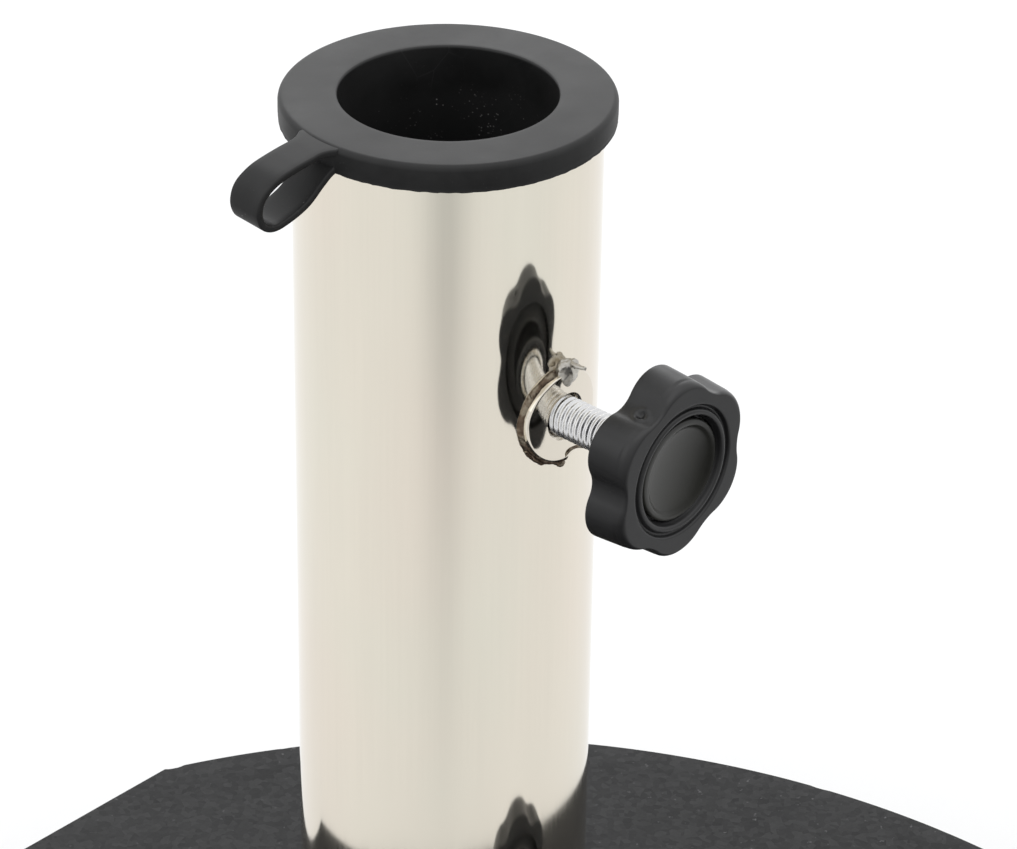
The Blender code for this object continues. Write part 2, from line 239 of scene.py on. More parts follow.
class Mat:
    """Small wrapper for building a node material."""

    def __init__(self, name):
        self.m = bpy.data.materials.new(name)
        self.m.use_nodes = True
        self.t = self.m.node_tree
        self.bsdf = self.t.nodes["Principled BSDF"]
        self.obj = self.t.nodes.new("ShaderNodeTexCoord").outputs["Object"]

    def set(self, **kw):
        for k, v in kw.items():
            self.bsdf.inputs[k.replace("_", " ")].default_value = v
        return self

    def node(self, kind, **props):
        n = self.t.nodes.new(kind)
        for k, v in props.items():
            setattr(n, k, v)
        return n

    def link(self, a, b):
        self.t.links.new(a, b)

    def mapped(self, scale=(1, 1, 1), rot=(0, 0, 0), loc=(0, 0, 0), src=None):
        n = self.node("ShaderNodeMapping")
        n.inputs["Scale"].default_value = scale
        n.inputs["Rotation"].default_value = rot
        n.inputs["Location"].default_value = loc
        self.link(src or self.obj, n.inputs["Vector"])
        return n.outputs["Vector"]

    def noise(self, scale, detail=3.0, rough=0.5, vec=None, distortion=0.0):
        n = self.node("ShaderNodeTexNoise")
        n.inputs["Scale"].default_value = scale
        n.inputs["Detail"].default_value = detail
        n.inputs["Roughness"].default_value = rough
        n.inputs["Distortion"].default_value = distortion
        self.link(vec or self.obj, n.inputs["Vector"])
        return n.outputs["Fac"]

    def voronoi(self, scale, feature="F1", out="Distance", vec=None, randomness=1.0):
        n = self.node("ShaderNodeTexVoronoi", feature=feature)
        n.inputs["Scale"].default_value = scale
        n.inputs["Randomness"].default_value = randomness
        self.link(vec or self.obj, n.inputs["Vector"])
        return n.outputs[out]

    def ramp(self, fac, stops, interp="LINEAR"):
        n = self.node("ShaderNodeValToRGB")
        r = n.color_ramp
        r.interpolation = interp
        while len(r.elements) < len(stops):
            r.elements.new(0.5)
        for e, (p, c) in zip(r.elements, stops):
            e.position = p
            e.color = c if len(c) == 4 else (*c, 1.0)
        self.link(fac, n.inputs["Fac"])
        return n.outputs["Color"]

    def span(self, fac, lo, hi, to_lo=0.0, to_hi=1.0):
        n = self.node("ShaderNodeMapRange", clamp=True)
        n.inputs["From Min"].default_value = lo
        n.inputs["From Max"].default_value = hi
        n.inputs["To Min"].default_value = to_lo
        n.inputs["To Max"].default_value = to_hi
        self.link(fac, n.inputs["Value"])
        return n.outputs["Result"]

    def math(self, op, a, b=None):
        n = self.node("ShaderNodeMath", operation=op)
        for i, x in enumerate((a, b)):
            if x is None:
                continue
            if isinstance(x, (int, float)):
                n.inputs[i].default_value = x
            else:
                self.link(x, n.inputs[i])
        return n.outputs["Value"]

    def mix(self, fac, a, b, kind="MIX"):
        n = self.node("ShaderNodeMix", data_type="RGBA", blend_type=kind)
        for sock, x in ((n.inputs[0], fac), (n.inputs[6], a), (n.inputs[7], b)):
            if isinstance(x, (int, float)):
                sock.default_value = x
            elif isinstance(x, tuple):
                sock.default_value = x
            else:
                self.link(x, sock)
        return n.outputs[2]

    def bump(self, height, strength, distance, normal=None):
        n = self.node("ShaderNodeBump")
        n.inputs["Strength"].default_value = strength
        n.inputs["Distance"].default_value = distance
        self.link(height, n.inputs["Height"])
        if normal is not None:
            self.link(normal, n.inputs["Normal"])
        return n.outputs["Normal"]

    def xyz(self, src=None):
        n = self.node("ShaderNodeSeparateXYZ")
        self.link(src or self.obj, n.inputs[0])
        return n.outputs

    def to(self, socket, out):
        self.link(out, self.bsdf.inputs[socket])
        return self


def polished_steel(name, tint=(0.735, 0.685, 0.59), rough=0.075, brushed=1.0):
    """Polished stainless steel: warm, nearly mirror-like, with drawn lines along the tube,
    hazy patches and fine handling scratches."""
    s = Mat(name)
    s.set(Metallic=1.0)
    hi = tuple(min(1.0, c * 1.035) for c in tint) + (1.0,)
    lo = tuple(c * 0.955 for c in tint) + (1.0,)
    bands = s.noise(9.0, 2.0, 0.5, vec=s.mapped((5.0, 5.0, 0.25)))
    lines = s.noise(60.0, 3.0, 0.6, vec=s.mapped((22.0, 22.0, 0.35)))
    haze = s.noise(26.0, 4.0, 0.6, vec=s.mapped((1.0, 1.0, 0.45)))
    mixf = s.math("ADD", s.math("MULTIPLY", bands, 0.55), s.math("MULTIPLY", lines, 0.2 * brushed))
    mixf = s.math("ADD", mixf, s.math("MULTIPLY", haze, 0.25))
    cool = (0.965, 1.0, 1.0, 1.0)
    rosy = (1.0, 0.985, 0.99, 1.0)
    patch = s.mix(s.span(s.noise(16.0, 3.0, 0.55, vec=s.mapped((1.0, 1.0, 0.55), loc=(0.3, 0.1, 0.7))), 0.36, 0.64), cool, rosy)
    s.to("Base Color", s.mix(1.0, s.mix(s.span(mixf, 0.34, 0.66), lo, hi), patch, "MULTIPLY"))
    r = s.math("ADD", s.span(haze, 0.35, 0.75, rough * 0.7, rough * 1.9),
               s.span(lines, 0.3, 0.8, 0.0, 0.03 * brushed))
    scr = s.voronoi(140.0, feature="DISTANCE_TO_EDGE", vec=s.mapped((1.0, 1.0, 0.12), rot=(0.2, 0.1, 0.0)))
    scratch = s.span(scr, 0.0, 0.012, 1.0, 0.0)
    mask = s.span(s.noise(34.0, 2.0), 0.55, 0.68)
    scratch = s.math("MULTIPLY", scratch, mask)
    s.to("Roughness", s.math("ADD", r, s.math("MULTIPLY", scratch, 0.10)))
    h = s.math("ADD", s.math("MULTIPLY", lines, 0.35 * brushed), s.math("MULTIPLY", scratch, -0.6))
    n1 = s.bump(h, 0.035, 0.00004)
    wave = s.noise(7.0, 1.0, 0.4, vec=s.mapped((1.0, 1.0, 0.6)))
    n2 = s.bump(wave, 0.10, 0.0011, normal=n1)
    s.to("Normal", n2)
    return s.m


def zinc_plate(name, tint=(0.80, 0.80, 0.79), rough=0.24, warm=0.0):
    """Bright zinc plating with a slight bloom and darker specks."""
    s = Mat(name)
    s.set(Metallic=1.0)
    a = tuple(tint) + (1.0,)
    b = (tint[0] * 0.86, tint[1] * 0.86, tint[2] * (0.88 - warm), 1.0)
    bloom = s.noise(420.0, 4.0, 0.62)
    big = s.noise(60.0, 2.0)
    s.to("Base Color", s.mix(s.span(s.math("ADD", s.math("MULTIPLY", bloom, 0.6),
                                           s.math("MULTIPLY", big, 0.4)), 0.40, 0.62), b, a))
    s.to("Roughness", s.span(bloom, 0.3, 0.7, rough * 0.75, rough * 1.5))
    s.to("Normal", s.bump(s.noise(1500.0, 2.0), 0.05, 0.00005))
    return s.m


def plain_steel(name):
    s = Mat(name)
    s.set(Metallic=1.0)
    rings = s.noise(1.0, 2.0, vec=s.mapped((300.0, 300.0, 300.0)))
    rust = s.span(s.noise(70.0, 5.0, 0.65), 0.60, 0.74)
    col = s.mix(rust, (0.36, 0.35, 0.34, 1.0), (0.17, 0.10, 0.06, 1.0))
    s.to("Base Color", col)
    s.to("Roughness", s.math("ADD", s.span(rings, 0.3, 0.7, 0.28, 0.42), s.math("MULTIPLY", rust, 0.3)))
    s.to("Normal", s.bump(rings, 0.15, 0.00008))
    return s.m


def weld_metal(name, centre_z):
    """Heat-tinted weld: straw and brown oxide over bright metal, burnt specks."""
    s = Mat(name)
    s.set(Metallic=1.0)
    n = s.noise(330.0, 4.0, 0.6)
    tone = s.ramp(n, [(0.0, (0.03, 0.020, 0.014)), (0.36, (0.065, 0.045, 0.031)), (0.48, (0.13, 0.095, 0.068)),
                      (0.58, (0.26, 0.225, 0.17)), (0.70, (0.09, 0.068, 0.052)), (1.0, (0.24, 0.215, 0.18))])
    burnt = s.span(s.noise(900.0, 3.0, 0.7), 0.58, 0.70)
    s.to("Base Color", s.mix(burnt, tone, (0.035, 0.024, 0.018, 1.0)))
    s.to("Roughness", s.math("ADD", s.span(n, 0.3, 0.7, 0.28, 0.46), s.math("MULTIPLY", burnt, 0.25)))
    s.to("Normal", s.bump(s.noise(1100.0, 3.0, 0.6), 0.35, 0.00012))
    return s.m


def granite(name):
    """Dark honed granite: tight crystals a shade apart, hazy mottling, faint pale flecks."""
    s = Mat(name)
    crystal = s.voronoi(620.0, out="Color")
    sep = s.node("ShaderNodeSeparateColor")
    s.link(crystal, sep.inputs[0])
    grain = s.noise(900.0, 3.0, 0.6)
    mottle = s.noise(34.0, 4.0, 0.62)
    clouds = s.noise(7.0, 3.0, 0.55)
    f = s.math("ADD", s.math("MULTIPLY", sep.outputs[0], 0.34), s.math("MULTIPLY", grain, 0.26))
    f = s.math("ADD", f, s.math("MULTIPLY", mottle, 0.26))
    f = s.math("ADD", f, s.math("MULTIPLY", clouds, 0.14))
    col = s.ramp(f, [(0.22, (0.014, 0.014, 0.0145)), (0.48, (0.023, 0.023, 0.0235)), (0.78, (0.038, 0.038, 0.0385))])
    fleck = s.span(s.noise(560.0, 2.0, 0.5, vec=s.mapped((1, 1, 1), loc=(3.1, 1.7, 0.4))), 0.70, 0.76)
    fleck = s.math("MULTIPLY", fleck, s.span(mottle, 0.40, 0.60, 0.2, 1.0))
    s.to("Base Color", s.mix(s.math("MULTIPLY", fleck, 0.55), col, (0.16, 0.16, 0.165, 1.0)))
    s.set(**{"Specular_IOR_Level": 0.17})
    s.to("Roughness", s.math("ADD", s.span(mottle, 0.3, 0.7, 0.46, 0.58), s.span(sep.outputs[1], 0.0, 1.0, -0.03, 0.03)))
    n1 = s.bump(grain, 0.16, 0.00018)
    s.to("Normal", s.bump(mottle, 0.08, 0.0006, normal=n1))
    return s.m


def black_plastic(name, colour, rough, spec=0.35, grain=0.5, scuff=0.5, dust=0.0, warm=0.0, low=0.12, front=None,
                  below=None, back=None, painted_sheen_z=None, rear=None):
    """Moulded black plastic: fine mould texture, grey scuffs, a little dust, and painted light: gloss graded by facing
    and position as painted sheen and shade, optionally a lighter tube-facing side.
    """
    s = Mat(name)
    base = tuple(colour) + (1.0,)
    light = (colour[0] * 1.8 + 0.004, colour[1] * 1.8 + 0.004, colour[2] * (1.8 - warm) + 0.004, 1.0)
    cloud = s.noise(55.0, 4.0, 0.6)
    fine = s.noise(1400.0, 2.0, 0.5)
    col = s.mix(s.span(cloud, 0.35, 0.75), base, light)
    sc = s.voronoi(95.0, feature="DISTANCE_TO_EDGE", vec=s.mapped((1.0, 1.4, 0.6), rot=(0.5, 0.3, 0.8)))
    scratch = s.math("MULTIPLY", s.span(sc, 0.0, 0.010, 1.0, 0.0), s.span(s.noise(40.0, 2.0), 0.54, 0.66))
    scratch = s.math("MULTIPLY", scratch, scuff)
    col = s.mix(s.math("MULTIPLY", scratch, 0.35), col, (0.085, 0.085, 0.085, 1.0))
    if dust > 0:
        d = s.voronoi(820.0, out="Distance")
        speck = s.math("MULTIPLY", s.span(d, 0.0, 0.16, 1.0, 0.0), s.span(s.noise(300.0, 2.0), 0.52, 0.62))
        if below is not None:                            # gathers under this height only
            more = s.math("MULTIPLY", s.span(s.voronoi(1150.0, out="Distance"), 0.0, 0.24, 0.55, 0.0),
                          s.span(s.noise(170.0, 3.0), 0.47, 0.57))
            more = s.math("MULTIPLY", more, s.span(s.xyz()[0], 0.004, 0.015))
            speck = s.math("MAXIMUM", speck, more)
            speck = s.math("MULTIPLY", speck, s.span(s.xyz()[2], below - 0.004, below, 1.0, 0.04))
            col = s.mix(s.span(s.xyz()[2], below - 0.004, below, 0.5, 0.0), col, light)
        col = s.mix(s.math("MULTIPLY", speck, dust), col, (0.42, 0.41, 0.40, 1.0))
    nrm = s.xyz(s.node("ShaderNodeNewGeometry").outputs["Normal"])
    if back is not None:                                 # painted light: the side that faces the tube is coloured a lighter grey, as if lit
        col = s.mix(s.span(nrm[1], 0.40, 0.85), col, tuple(back) + (1.0,))
    s.to("Base Color", col)
    # painted shade: specular level keyed to world up, high on tops and low on the sides and underneath
    gloss = s.span(nrm[2], -0.05, 0.80, low, spec)
    if front is not None:                                # the wide outer face is glossier
        gloss = s.math("MAXIMUM", gloss, s.span(nrm[1], -0.55, -0.92, low, front))
    if painted_sheen_z is not None:                                 # painted sheen: gloss graded across the face, high on one side and low on the other
        x, _, z = s.xyz()
        across = s.math("ADD", x, s.math("MULTIPLY", s.math("SUBTRACT", painted_sheen_z * 0.001, z), 0.5))
        gloss = s.math("MULTIPLY", gloss, s.span(across, -0.0085, 0.0085, 1.15, 0.05))
    if rear is not None:                                 # painted sheen: gloss raised on the flange's far side and on the loop, lowered on its near side
        x, y, _ = s.xyz()
        away = s.math("MULTIPLY", s.math("ADD", x, s.math("SUBTRACT", y, AXIS_Y * 0.001)), 0.707)
        gloss = s.math("MULTIPLY", gloss, s.span(away, -0.031, 0.031, 2.0 - rear, rear))
        gloss = s.math("MULTIPLY", gloss, s.span(away, -0.036, -0.031, 1.42, 1.0))
    s.to("Specular IOR Level", gloss)
    s.to("Roughness", s.math("ADD", s.span(cloud, 0.3, 0.75, rough - 0.06, rough + 0.09),
                             s.math("MULTIPLY", scratch, 0.15)))
    n1 = s.bump(fine, 0.12 * grain, 0.00010)
    s.to("Normal", s.bump(s.noise(170.0, 3.0, 0.55), 0.10, 0.00022, normal=n1))
    return s.m


def rubber(name):
    s = Mat(name)
    n = s.noise(600.0, 3.0, 0.6)
    dust = s.noise(90.0, 4.0, 0.6)
    s.to("Base Color", s.mix(s.span(dust, 0.45, 0.72), (0.014, 0.014, 0.014, 1.0), (0.045, 0.043, 0.040, 1.0)))
    s.set(**{"Specular_IOR_Level": 0.3})
    s.to("Roughness", s.span(n, 0.3, 0.7, 0.72, 0.88))
    s.to("Normal", s.bump(n, 0.3, 0.0002))
    return s.m


def nylon(name):
    s = Mat(name)
    n = s.noise(240.0, 3.0, 0.5)
    s.to("Base Color", s.mix(s.span(n, 0.35, 0.7), (0.66, 0.63, 0.55, 1.0), (0.76, 0.74, 0.67, 1.0)))
    s.to("Roughness", s.span(n, 0.3, 0.7, 0.38, 0.5))
    s.to("Normal", s.bump(s.noise(900.0, 2.0), 0.12, 0.0001))
    return s.m


M_TUBE = polished_steel("steel_polished", rough=0.042)
M_BOSS = polished_steel("steel_boss", tint=(0.72, 0.67, 0.58), rough=0.05, brushed=0.3)
M_ZINC = zinc_plate("zinc_bright")
M_ZINC_DULL = zinc_plate("zinc_dull", tint=(0.56, 0.56, 0.55), rough=0.34, warm=0.06)
M_STEEL = plain_steel("steel_plain")
M_WELD = weld_metal("weld_heat_tint", Z_UP)
M_GRANITE = granite("granite_dark")
# the knob's back colour is painted light: a lighter grey on its tube-facing side
M_KNOB = black_plastic("knob_black", (0.0072, 0.0072, 0.0075), 0.34, spec=0.55, grain=0.5, scuff=0.5, dust=0.05, low=0.07, front=0.24,
                       back=(0.046, 0.048, 0.053))
# the caps' gloss is graded across each face as painted sheen
M_CAP = {z: black_plastic("cap_black_" + n, (0.0120, 0.0120, 0.0108), 0.34, spec=0.60, grain=0.25, scuff=0.4, dust=0.04,
                          warm=0.1, low=0.06, front=0.42, painted_sheen_z=z) for n, z in (("upper", Z_UP), ("lower", Z_LO))}
# the reducer's gloss is graded front to back as painted sheen
M_REDUCER = black_plastic("reducer_black", (0.0108, 0.0108, 0.0108), 0.44, spec=0.37, grain=0.4, scuff=0.6, dust=1.0, low=0.08, below=0.334,
                          rear=1.18)
M_SPATTER = zinc_plate("weld_spatter", tint=(0.50, 0.48, 0.45), rough=0.30, warm=0.06)
M_RUBBER = rubber("rubber_black")
M_NYLON = nylon("nylon_white")


# =============================== granite slab =========================================
def slab_ring(inset, z, n=720):
    r, d = SLAB_R - inset, SLAB_FLAT - inset
    half = math.degrees(math.acos(d / r))
    arc_n = int(n * 0.868)
    flat_n = n - arc_n
    a0, a1 = 90.0 + half, 450.0 - half
    pts = []
    for i in range(arc_n):
        a = math.radians(a0 + (a1 - a0) * i / arc_n)
        pts.append((r * math.cos(a), r * math.sin(a) - POLE_SHIFT, z))
    x1 = r * math.cos(math.radians(a1))
    x0 = r * math.cos(math.radians(a0))
    for i in range(flat_n):
        t = i / flat_n
        pts.append((x1 + (x0 - x1) * t, d - POLE_SHIFT, z))
    return np.array(pts)


def ring_at(radius, z, like):
    """A circle whose points stand at the same bearings as an outline's."""
    a = np.arctan2(like[:, 1], like[:, 0])
    return np.column_stack([radius * np.cos(a), radius * np.sin(a), np.full(len(a), z)])


outline0 = slab_ring(0.0, 0.0)


def blend_ring(t, z):
    """From the slab's outline (t = 0) to the small centre circle (t = 1)."""
    c = ring_at(7.0, z, outline0)
    o = slab_ring(0.9, z)
    return o * (1 - t) + c * t


rings = []
# underside, from the recess edge out to the chamfer
for rad, z in ((7.0, 23.0), (20.0, 23.0), (31.6, 23.0), (32.0, 22.6), (32.0, 14.0), (32.0, 5.9), (32.3, 5.2), (32.8, 5.0)):
    rings.append(ring_at(rad, z, outline0))
under_out = slab_ring(2.2, 5.0)
under_in = ring_at(32.8, 5.0, outline0)
for t in (0.12, 0.3, 0.55, 0.8, 0.94):
    rings.append(under_in * (1 - t) + under_out * t)
for k in range(5):
    a = math.radians(90 * k / 4)
    rings.append(slab_ring(2.0 - 2.0 * math.sin(a), 5.0 + 2.0 * (1 - math.cos(a))))
for z in (14.0, 24.0, 34.0, 44.0, 53.0, 59.0):
    rings.append(slab_ring(0.0, z))
ARRIS = 0.5
arris_first = len(rings)
for k in range(5):
    a = math.radians(90 * k / 4)
    rings.append(slab_ring(ARRIS * (1 - math.cos(a)), SLAB_TOP - ARRIS * (1 - math.sin(a))))
arris_last = len(rings)
for t in (0.04, 0.12, 0.25, 0.42, 0.6, 0.78, 0.92, 1.0):
    rings.append(blend_ring(t, SLAB_TOP))
rings.append(ring_at(7.0, 40.0, outline0))
# small chips and wander along the top arris
for k in range(arris_first, arris_last):
    for i, p in enumerate(rings[k]):
        c = fbm(p[0] * 0.16, p[1] * 0.16, 2.0, 3)
        chip = max(0.0, c - 0.24) * 2.6
        wob = 0.05 * fbm(p[0] * 0.05, p[1] * 0.05, 9.0, 2)
        mid = 1.0 - abs((k - arris_first) / (arris_last - 1 - arris_first) - 0.5) * 1.2
        s = (min(chip, 0.5) * mid + wob) / math.hypot(p[0], p[1])
        rings[k][i, 0] -= p[0] * s
        rings[k][i, 1] -= p[1] * s
        rings[k][i, 2] -= min(chip, 0.5) * mid * 0.45
v, f = skin(rings, wrap=True)
make("granite_slab_fine", v, f, M_GRANITE, "base", ("granite_slab",), sharp=32)

# =============================== rubber pads ==========================================
for tag, sx, sy in (("front_right", 1, -1), ("front_left", -1, -1), ("rear_right", 1, 1), ("rear_left", -1, 1)):
    c = 150.0 * math.cos(math.radians(45))
    prof = [(0.0, 0.9), (3.0, 0.9)]
    for r0 in (4.0, 8.0, 12.0):                       # concentric grip grooves
        prof += [(r0, 0.0), (r0 + 2.4, 0.0), (r0 + 2.9, 0.55), (r0 + 3.5, 0.55)]
    prof += [(16.2, 0.0)] + arc(17.6, 0.9, 0.9, 270, 350, 4) + [(18.9, 3.4)] + arc(18.5, 4.2, 0.5, 0, 90, 4) + [(0.0, 4.7)]
    v, f = turned(prof, 96)
    v[:, 0] += sx * c
    v[:, 1] += sy * c - POLE_SHIFT
    make("foot_pad_%s_fine" % tag, v, f, M_RUBBER, "base", ("foot_pad_" + tag,))

# =============================== anchor hardware ======================================
z_w, z_s, z_h = 18.7, 15.4, 7.6
prof = rounded([(6.8, z_w), (28.0, z_w), (28.0, z_w + 4.0), (6.8, z_w + 4.0)], [0.4, 0.7, 0.3, 0.2], 4)
v, f = turned(densify(prof, 6.0, True), 128)
for p in v:                                           # pressed washer: slight dish
    p[2] -= 0.12 * (1 - math.hypot(p[0], p[1]) / 28.0)
make("anchor_washer_fine", v, f, M_ZINC_DULL, "base", ("anchor_washer",))

rings = []
for i in range(97):
    t = math.radians(4.0 + 352.0 * i / 96)
    lift = 0.35 * (i / 96 - 0.5)
    sec = rounded([(6.6, 0.35), (10.6, 0.35), (10.6, 2.65), (6.6, 2.65)], [0.35] * 4, 3)
    rings.append([(r * math.cos(t), r * math.sin(t), z_s + z + lift * 0.9) for r, z in sec])
v, f = skin(rings)
make("spring_washer_fine", v, f, M_ZINC_DULL, "base", ("spring_washer",))


def hex_r(a, flat=9.0):
    b = (a + math.pi / 6) % (math.pi / 3) - math.pi / 6
    return flat / math.cos(b)


def thread_rows(r_major, depth, pitch, a0, a1, seg, step, chamfer0=0.7, chamfer1=0.7, crest=0.14, root=0.10):
    """Rings of a right-hand vee thread between two stations."""
    rows = []
    n = int(round((a1 - a0) / step))
    for j in range(n + 1):
        z = a0 + (a1 - a0) * j / n
        ring = []
        for i in range(seg):
            th = 2 * math.pi * i / seg
            ph = (z / pitch - th / (2 * math.pi)) % 1.0
            t = abs(ph - 0.5) * 2.0                      # 0 at the crest, 1 at the root
            t = min(1.0, max(0.0, (t - crest) / (1 - crest - root)))
            t = t * t * (3 - 2 * t) * 0.35 + t * 0.65
            r = r_major - depth * t
            lim = min(r_major - max(0.0, chamfer0 - (z - a0)), r_major - max(0.0, chamfer1 - (a1 - z)))
            ring.append((min(r, lim) * math.cos(th), min(r, lim) * math.sin(th), z))
        rows.append(ring)
    return rows


SEG = 72
head = []
for z, k, cut in ((z_h, "c", 8.2), (z_h + 0.25, "c", 8.75), (z_h + 0.7, "c", 9.5), (z_h + 1.15, "c", 10.1),
                  (z_h + 1.7, "h", 20), (z_h + 4.5, "h", 20), (z_h + 6.95, "h", 20), (z_h + 7.1, "c", 9.4),
                  (z_h + 7.5, "c", 8.7)):
    ring = []
    for i in range(SEG):
        a = 2 * math.pi * i / SEG
        r = hex_r(a) if k == "h" else min(hex_r(a), cut)
        ring.append((r * math.cos(a), r * math.sin(a), z))
    head.append(ring)
z0 = z_h + 7.5
head += [[(5.85 * math.cos(2 * math.pi * i / SEG), 5.85 * math.sin(2 * math.pi * i / SEG), z) for i in range(SEG)]
         for z in (z0 + 0.01, z0 + 10.0, z0 + 19.9)]
head += thread_rows(5.85, 0.95, 1.75, z0 + 20.0, z0 + 52.5, SEG, 0.14, chamfer0=0.0, chamfer1=0.9)
v, f = skin(head)
make("anchor_bolt_fine", v, f, M_ZINC_DULL, "base", ("anchor_bolt",), sharp=25)

# =============================== pole tube ============================================
COLS = 192
PATCH = 13                                             # half-width of the patch round a boss hole, columns
dth = 2 * math.pi / COLS
HOLE = BOSS_R + 0.12


def tube_wall(radius, verts, faces):
    """One wall of the tube as a clean grid with a round hole at each boss. Returns its end and hole loops."""
    half = TUBE_R * PATCH * dth
    spans = [(TUBE_LOW + 0.4, Z_LO - half, 24), (Z_LO - half, Z_LO + half, 2 * PATCH),
             (Z_LO + half, Z_UP - half, 26), (Z_UP - half, Z_UP + half, 2 * PATCH),
             (Z_UP + half, TUBE_TOP - 0.4, 12)]
    zs, marks = [spans[0][0]], []
    for lo, hi, n in spans:
        start = len(zs) - 1
        zs += [lo + (hi - lo) * (k + 1) / n for k in range(n)]
        marks.append((start, len(zs) - 1))
    base = len(verts)
    c0 = -math.pi / 2                                  # column 0 at the screws' bearing
    for z in zs:
        for i in range(COLS):
            a = c0 + i * dth
            verts.append((radius * math.cos(a), radius * math.sin(a), z))

    def vid(row, col):
        return base + row * COLS + col % COLS

    holes = []
    skip = set()
    for (r0, r1), zc in ((marks[1], Z_LO), (marks[3], Z_UP)):
        for r in range(r0, r1):
            for c in range(-PATCH, PATCH):
                skip.add((r, c % COLS))
        loop, uv = [], []
        for c in range(-PATCH, PATCH):
            loop.append(vid(r0, c)); uv.append((c * dth, zs[r0] - zc))
        for r in range(r0, r1):
            loop.append(vid(r, PATCH)); uv.append((PATCH * dth, zs[r] - zc))
        for c in range(PATCH, -PATCH, -1):
            loop.append(vid(r1, c)); uv.append((c * dth, zs[r1] - zc))
        for r in range(r1, r0, -1):
            loop.append(vid(r, -PATCH)); uv.append((-PATCH * dth, zs[r] - zc))
        n = len(loop)
        prev = loop
        steps = 9
        hole_ids = None
        for s in range(1, steps + 1):
            t = 1 - (1 - s / steps) ** 1.25
            cur = []
            for (ua, zz) in uv:
                x, ang = TUBE_R * math.sin(ua), math.atan2(zz, TUBE_R * math.sin(ua))
                hx, hz = HOLE * math.cos(ang), HOLE * math.sin(ang)
                px, pz = x + (hx - x) * t, zz + (hz - zz) * t
                if s == steps:
                    px, pz = hx, hz
                aa = math.asin(max(-1.0, min(1.0, px / radius)))
                cur.append(len(verts))
                verts.append((radius * math.sin(aa), -radius * math.cos(aa), zc + pz))
            for i in range(n):
                j = (i + 1) % n
                faces.append((prev[i], prev[j], cur[j], cur[i]))
            prev = cur
        holes.append(prev)
    for r in range(len(zs) - 1):
        for c in range(COLS):
            if (r, c) not in skip:
                faces.append((vid(r, c), vid(r, c + 1), vid(r + 1, c + 1), vid(r + 1, c)))
    bottom = [vid(0, c) for c in range(COLS)]
    top = [vid(len(zs) - 1, c) for c in range(COLS)]
    return bottom, top, holes


verts, faces = [], []
ob_, ot_, oh_ = tube_wall(TUBE_R, verts, faces)
nf = len(faces)
ib_, it_, ih_ = tube_wall(TUBE_IN, verts, faces)
faces[nf:] = [tuple(reversed(q)) for q in faces[nf:]]


def bridge(a, b):
    n = len(a)
    for i in range(n):
        j = (i + 1) % n
        faces.append((a[i], a[j], b[j], b[i]))


def end_ring(z, r_mid, radii):
    loops = []
    for r, dz in radii:
        ids = []
        for i in range(COLS):
            a = -math.pi / 2 + i * dth
            ids.append(len(verts))
            verts.append((r * math.cos(a), r * math.sin(a), z + dz))
        loops.append(ids)
    return loops


R = 0.4
top_loops = end_ring(TUBE_TOP - R, 0, [(TUBE_R - R + R * math.cos(math.radians(a)), R * math.sin(math.radians(a))) for a in (22.5, 45, 67.5, 90)]
                     + [(TUBE_IN + R - R * math.sin(math.radians(a)), R * math.cos(math.radians(a))) for a in (0, 22.5, 45, 67.5)])
chain = [ot_] + top_loops + [it_]
for a, b in zip(chain, chain[1:]):
    bridge(a, b)
low_loops = end_ring(TUBE_LOW + R, 0, [(TUBE_R - R + R * math.cos(math.radians(a)), -R * math.sin(math.radians(a))) for a in (22.5, 45, 67.5, 90)]
                     + [(TUBE_IN + R - R * math.sin(math.radians(a)), -R * math.cos(math.radians(a))) for a in (0, 22.5, 45, 67.5)])
chain = [ob_] + low_loops + [ib_]
for a, b in zip(chain, chain[1:]):
    bridge(b, a)
for a, b in zip(oh_, ih_):
    bridge(b, a)


LEAN = 0.0065                      # the polished wall is this far out of true


def tube_normals(me):
    """True cylinder normals on the two walls, so that reflections run clean past the holes."""
    out = [None] * len(me.loops)
    cor = me.corner_normals
    co = np.empty(len(me.vertices) * 3, np.float32)
    me.vertices.foreach_get("co", co)
    co = co.reshape(-1, 3)
    rad = np.hypot(co[:, 0], co[:, 1] - AXIS_Y * 0.001)
    for p in me.polygons:
        ids = [me.loops[l].vertex_index for l in p.loop_indices]
        on_out = all(abs(rad[i] - TUBE_R * 0.001) < 2e-6 for i in ids)
        on_in = all(abs(rad[i] - TUBE_IN * 0.001) < 2e-6 for i in ids)
        for l, i in zip(p.loop_indices, ids):
            if on_out or on_in:
                x, y = co[i, 0], co[i, 1] - AXIS_Y * 0.001
                h = math.hypot(x, y)
                s = 1.0 if on_out else -1.0
                out[l] = (s * x / h, s * y / h, LEAN if on_out else 0.0)
            else:
                n = cor[l].vector
                out[l] = (n[0], n[1], n[2])
    return out


make("pole_tube_fine", np.array(verts), faces, M_TUBE, "base", ("pole_tube",),
     sharp=40, normals=tube_normals)

# foot plug with the pole's seat
plug_top = 75.3
prof = [(6.2, TUBE_LOW)] + rounded([(6.2, TUBE_LOW), (27.5, TUBE_LOW), (27.5, plug_top), (0.0, plug_top)],
                                   [0, 0.5, 1.0, 0], 4, closed=False)[1:-1]
prof += [(16.0, plug_top), (8.0, plug_top), (0.0, plug_top)]
bt = z_h + 60.0
prof_full = [(0.0, bt + 2.0), (6.2, bt + 1.0)] + [(6.2, TUBE_LOW + 0.6), (6.8, TUBE_LOW)] + prof[1:]
v, f = turned(prof_full, 128)
make("tube_foot_plug_fine", v, f, M_STEEL, "base", ("tube_foot_plug",))


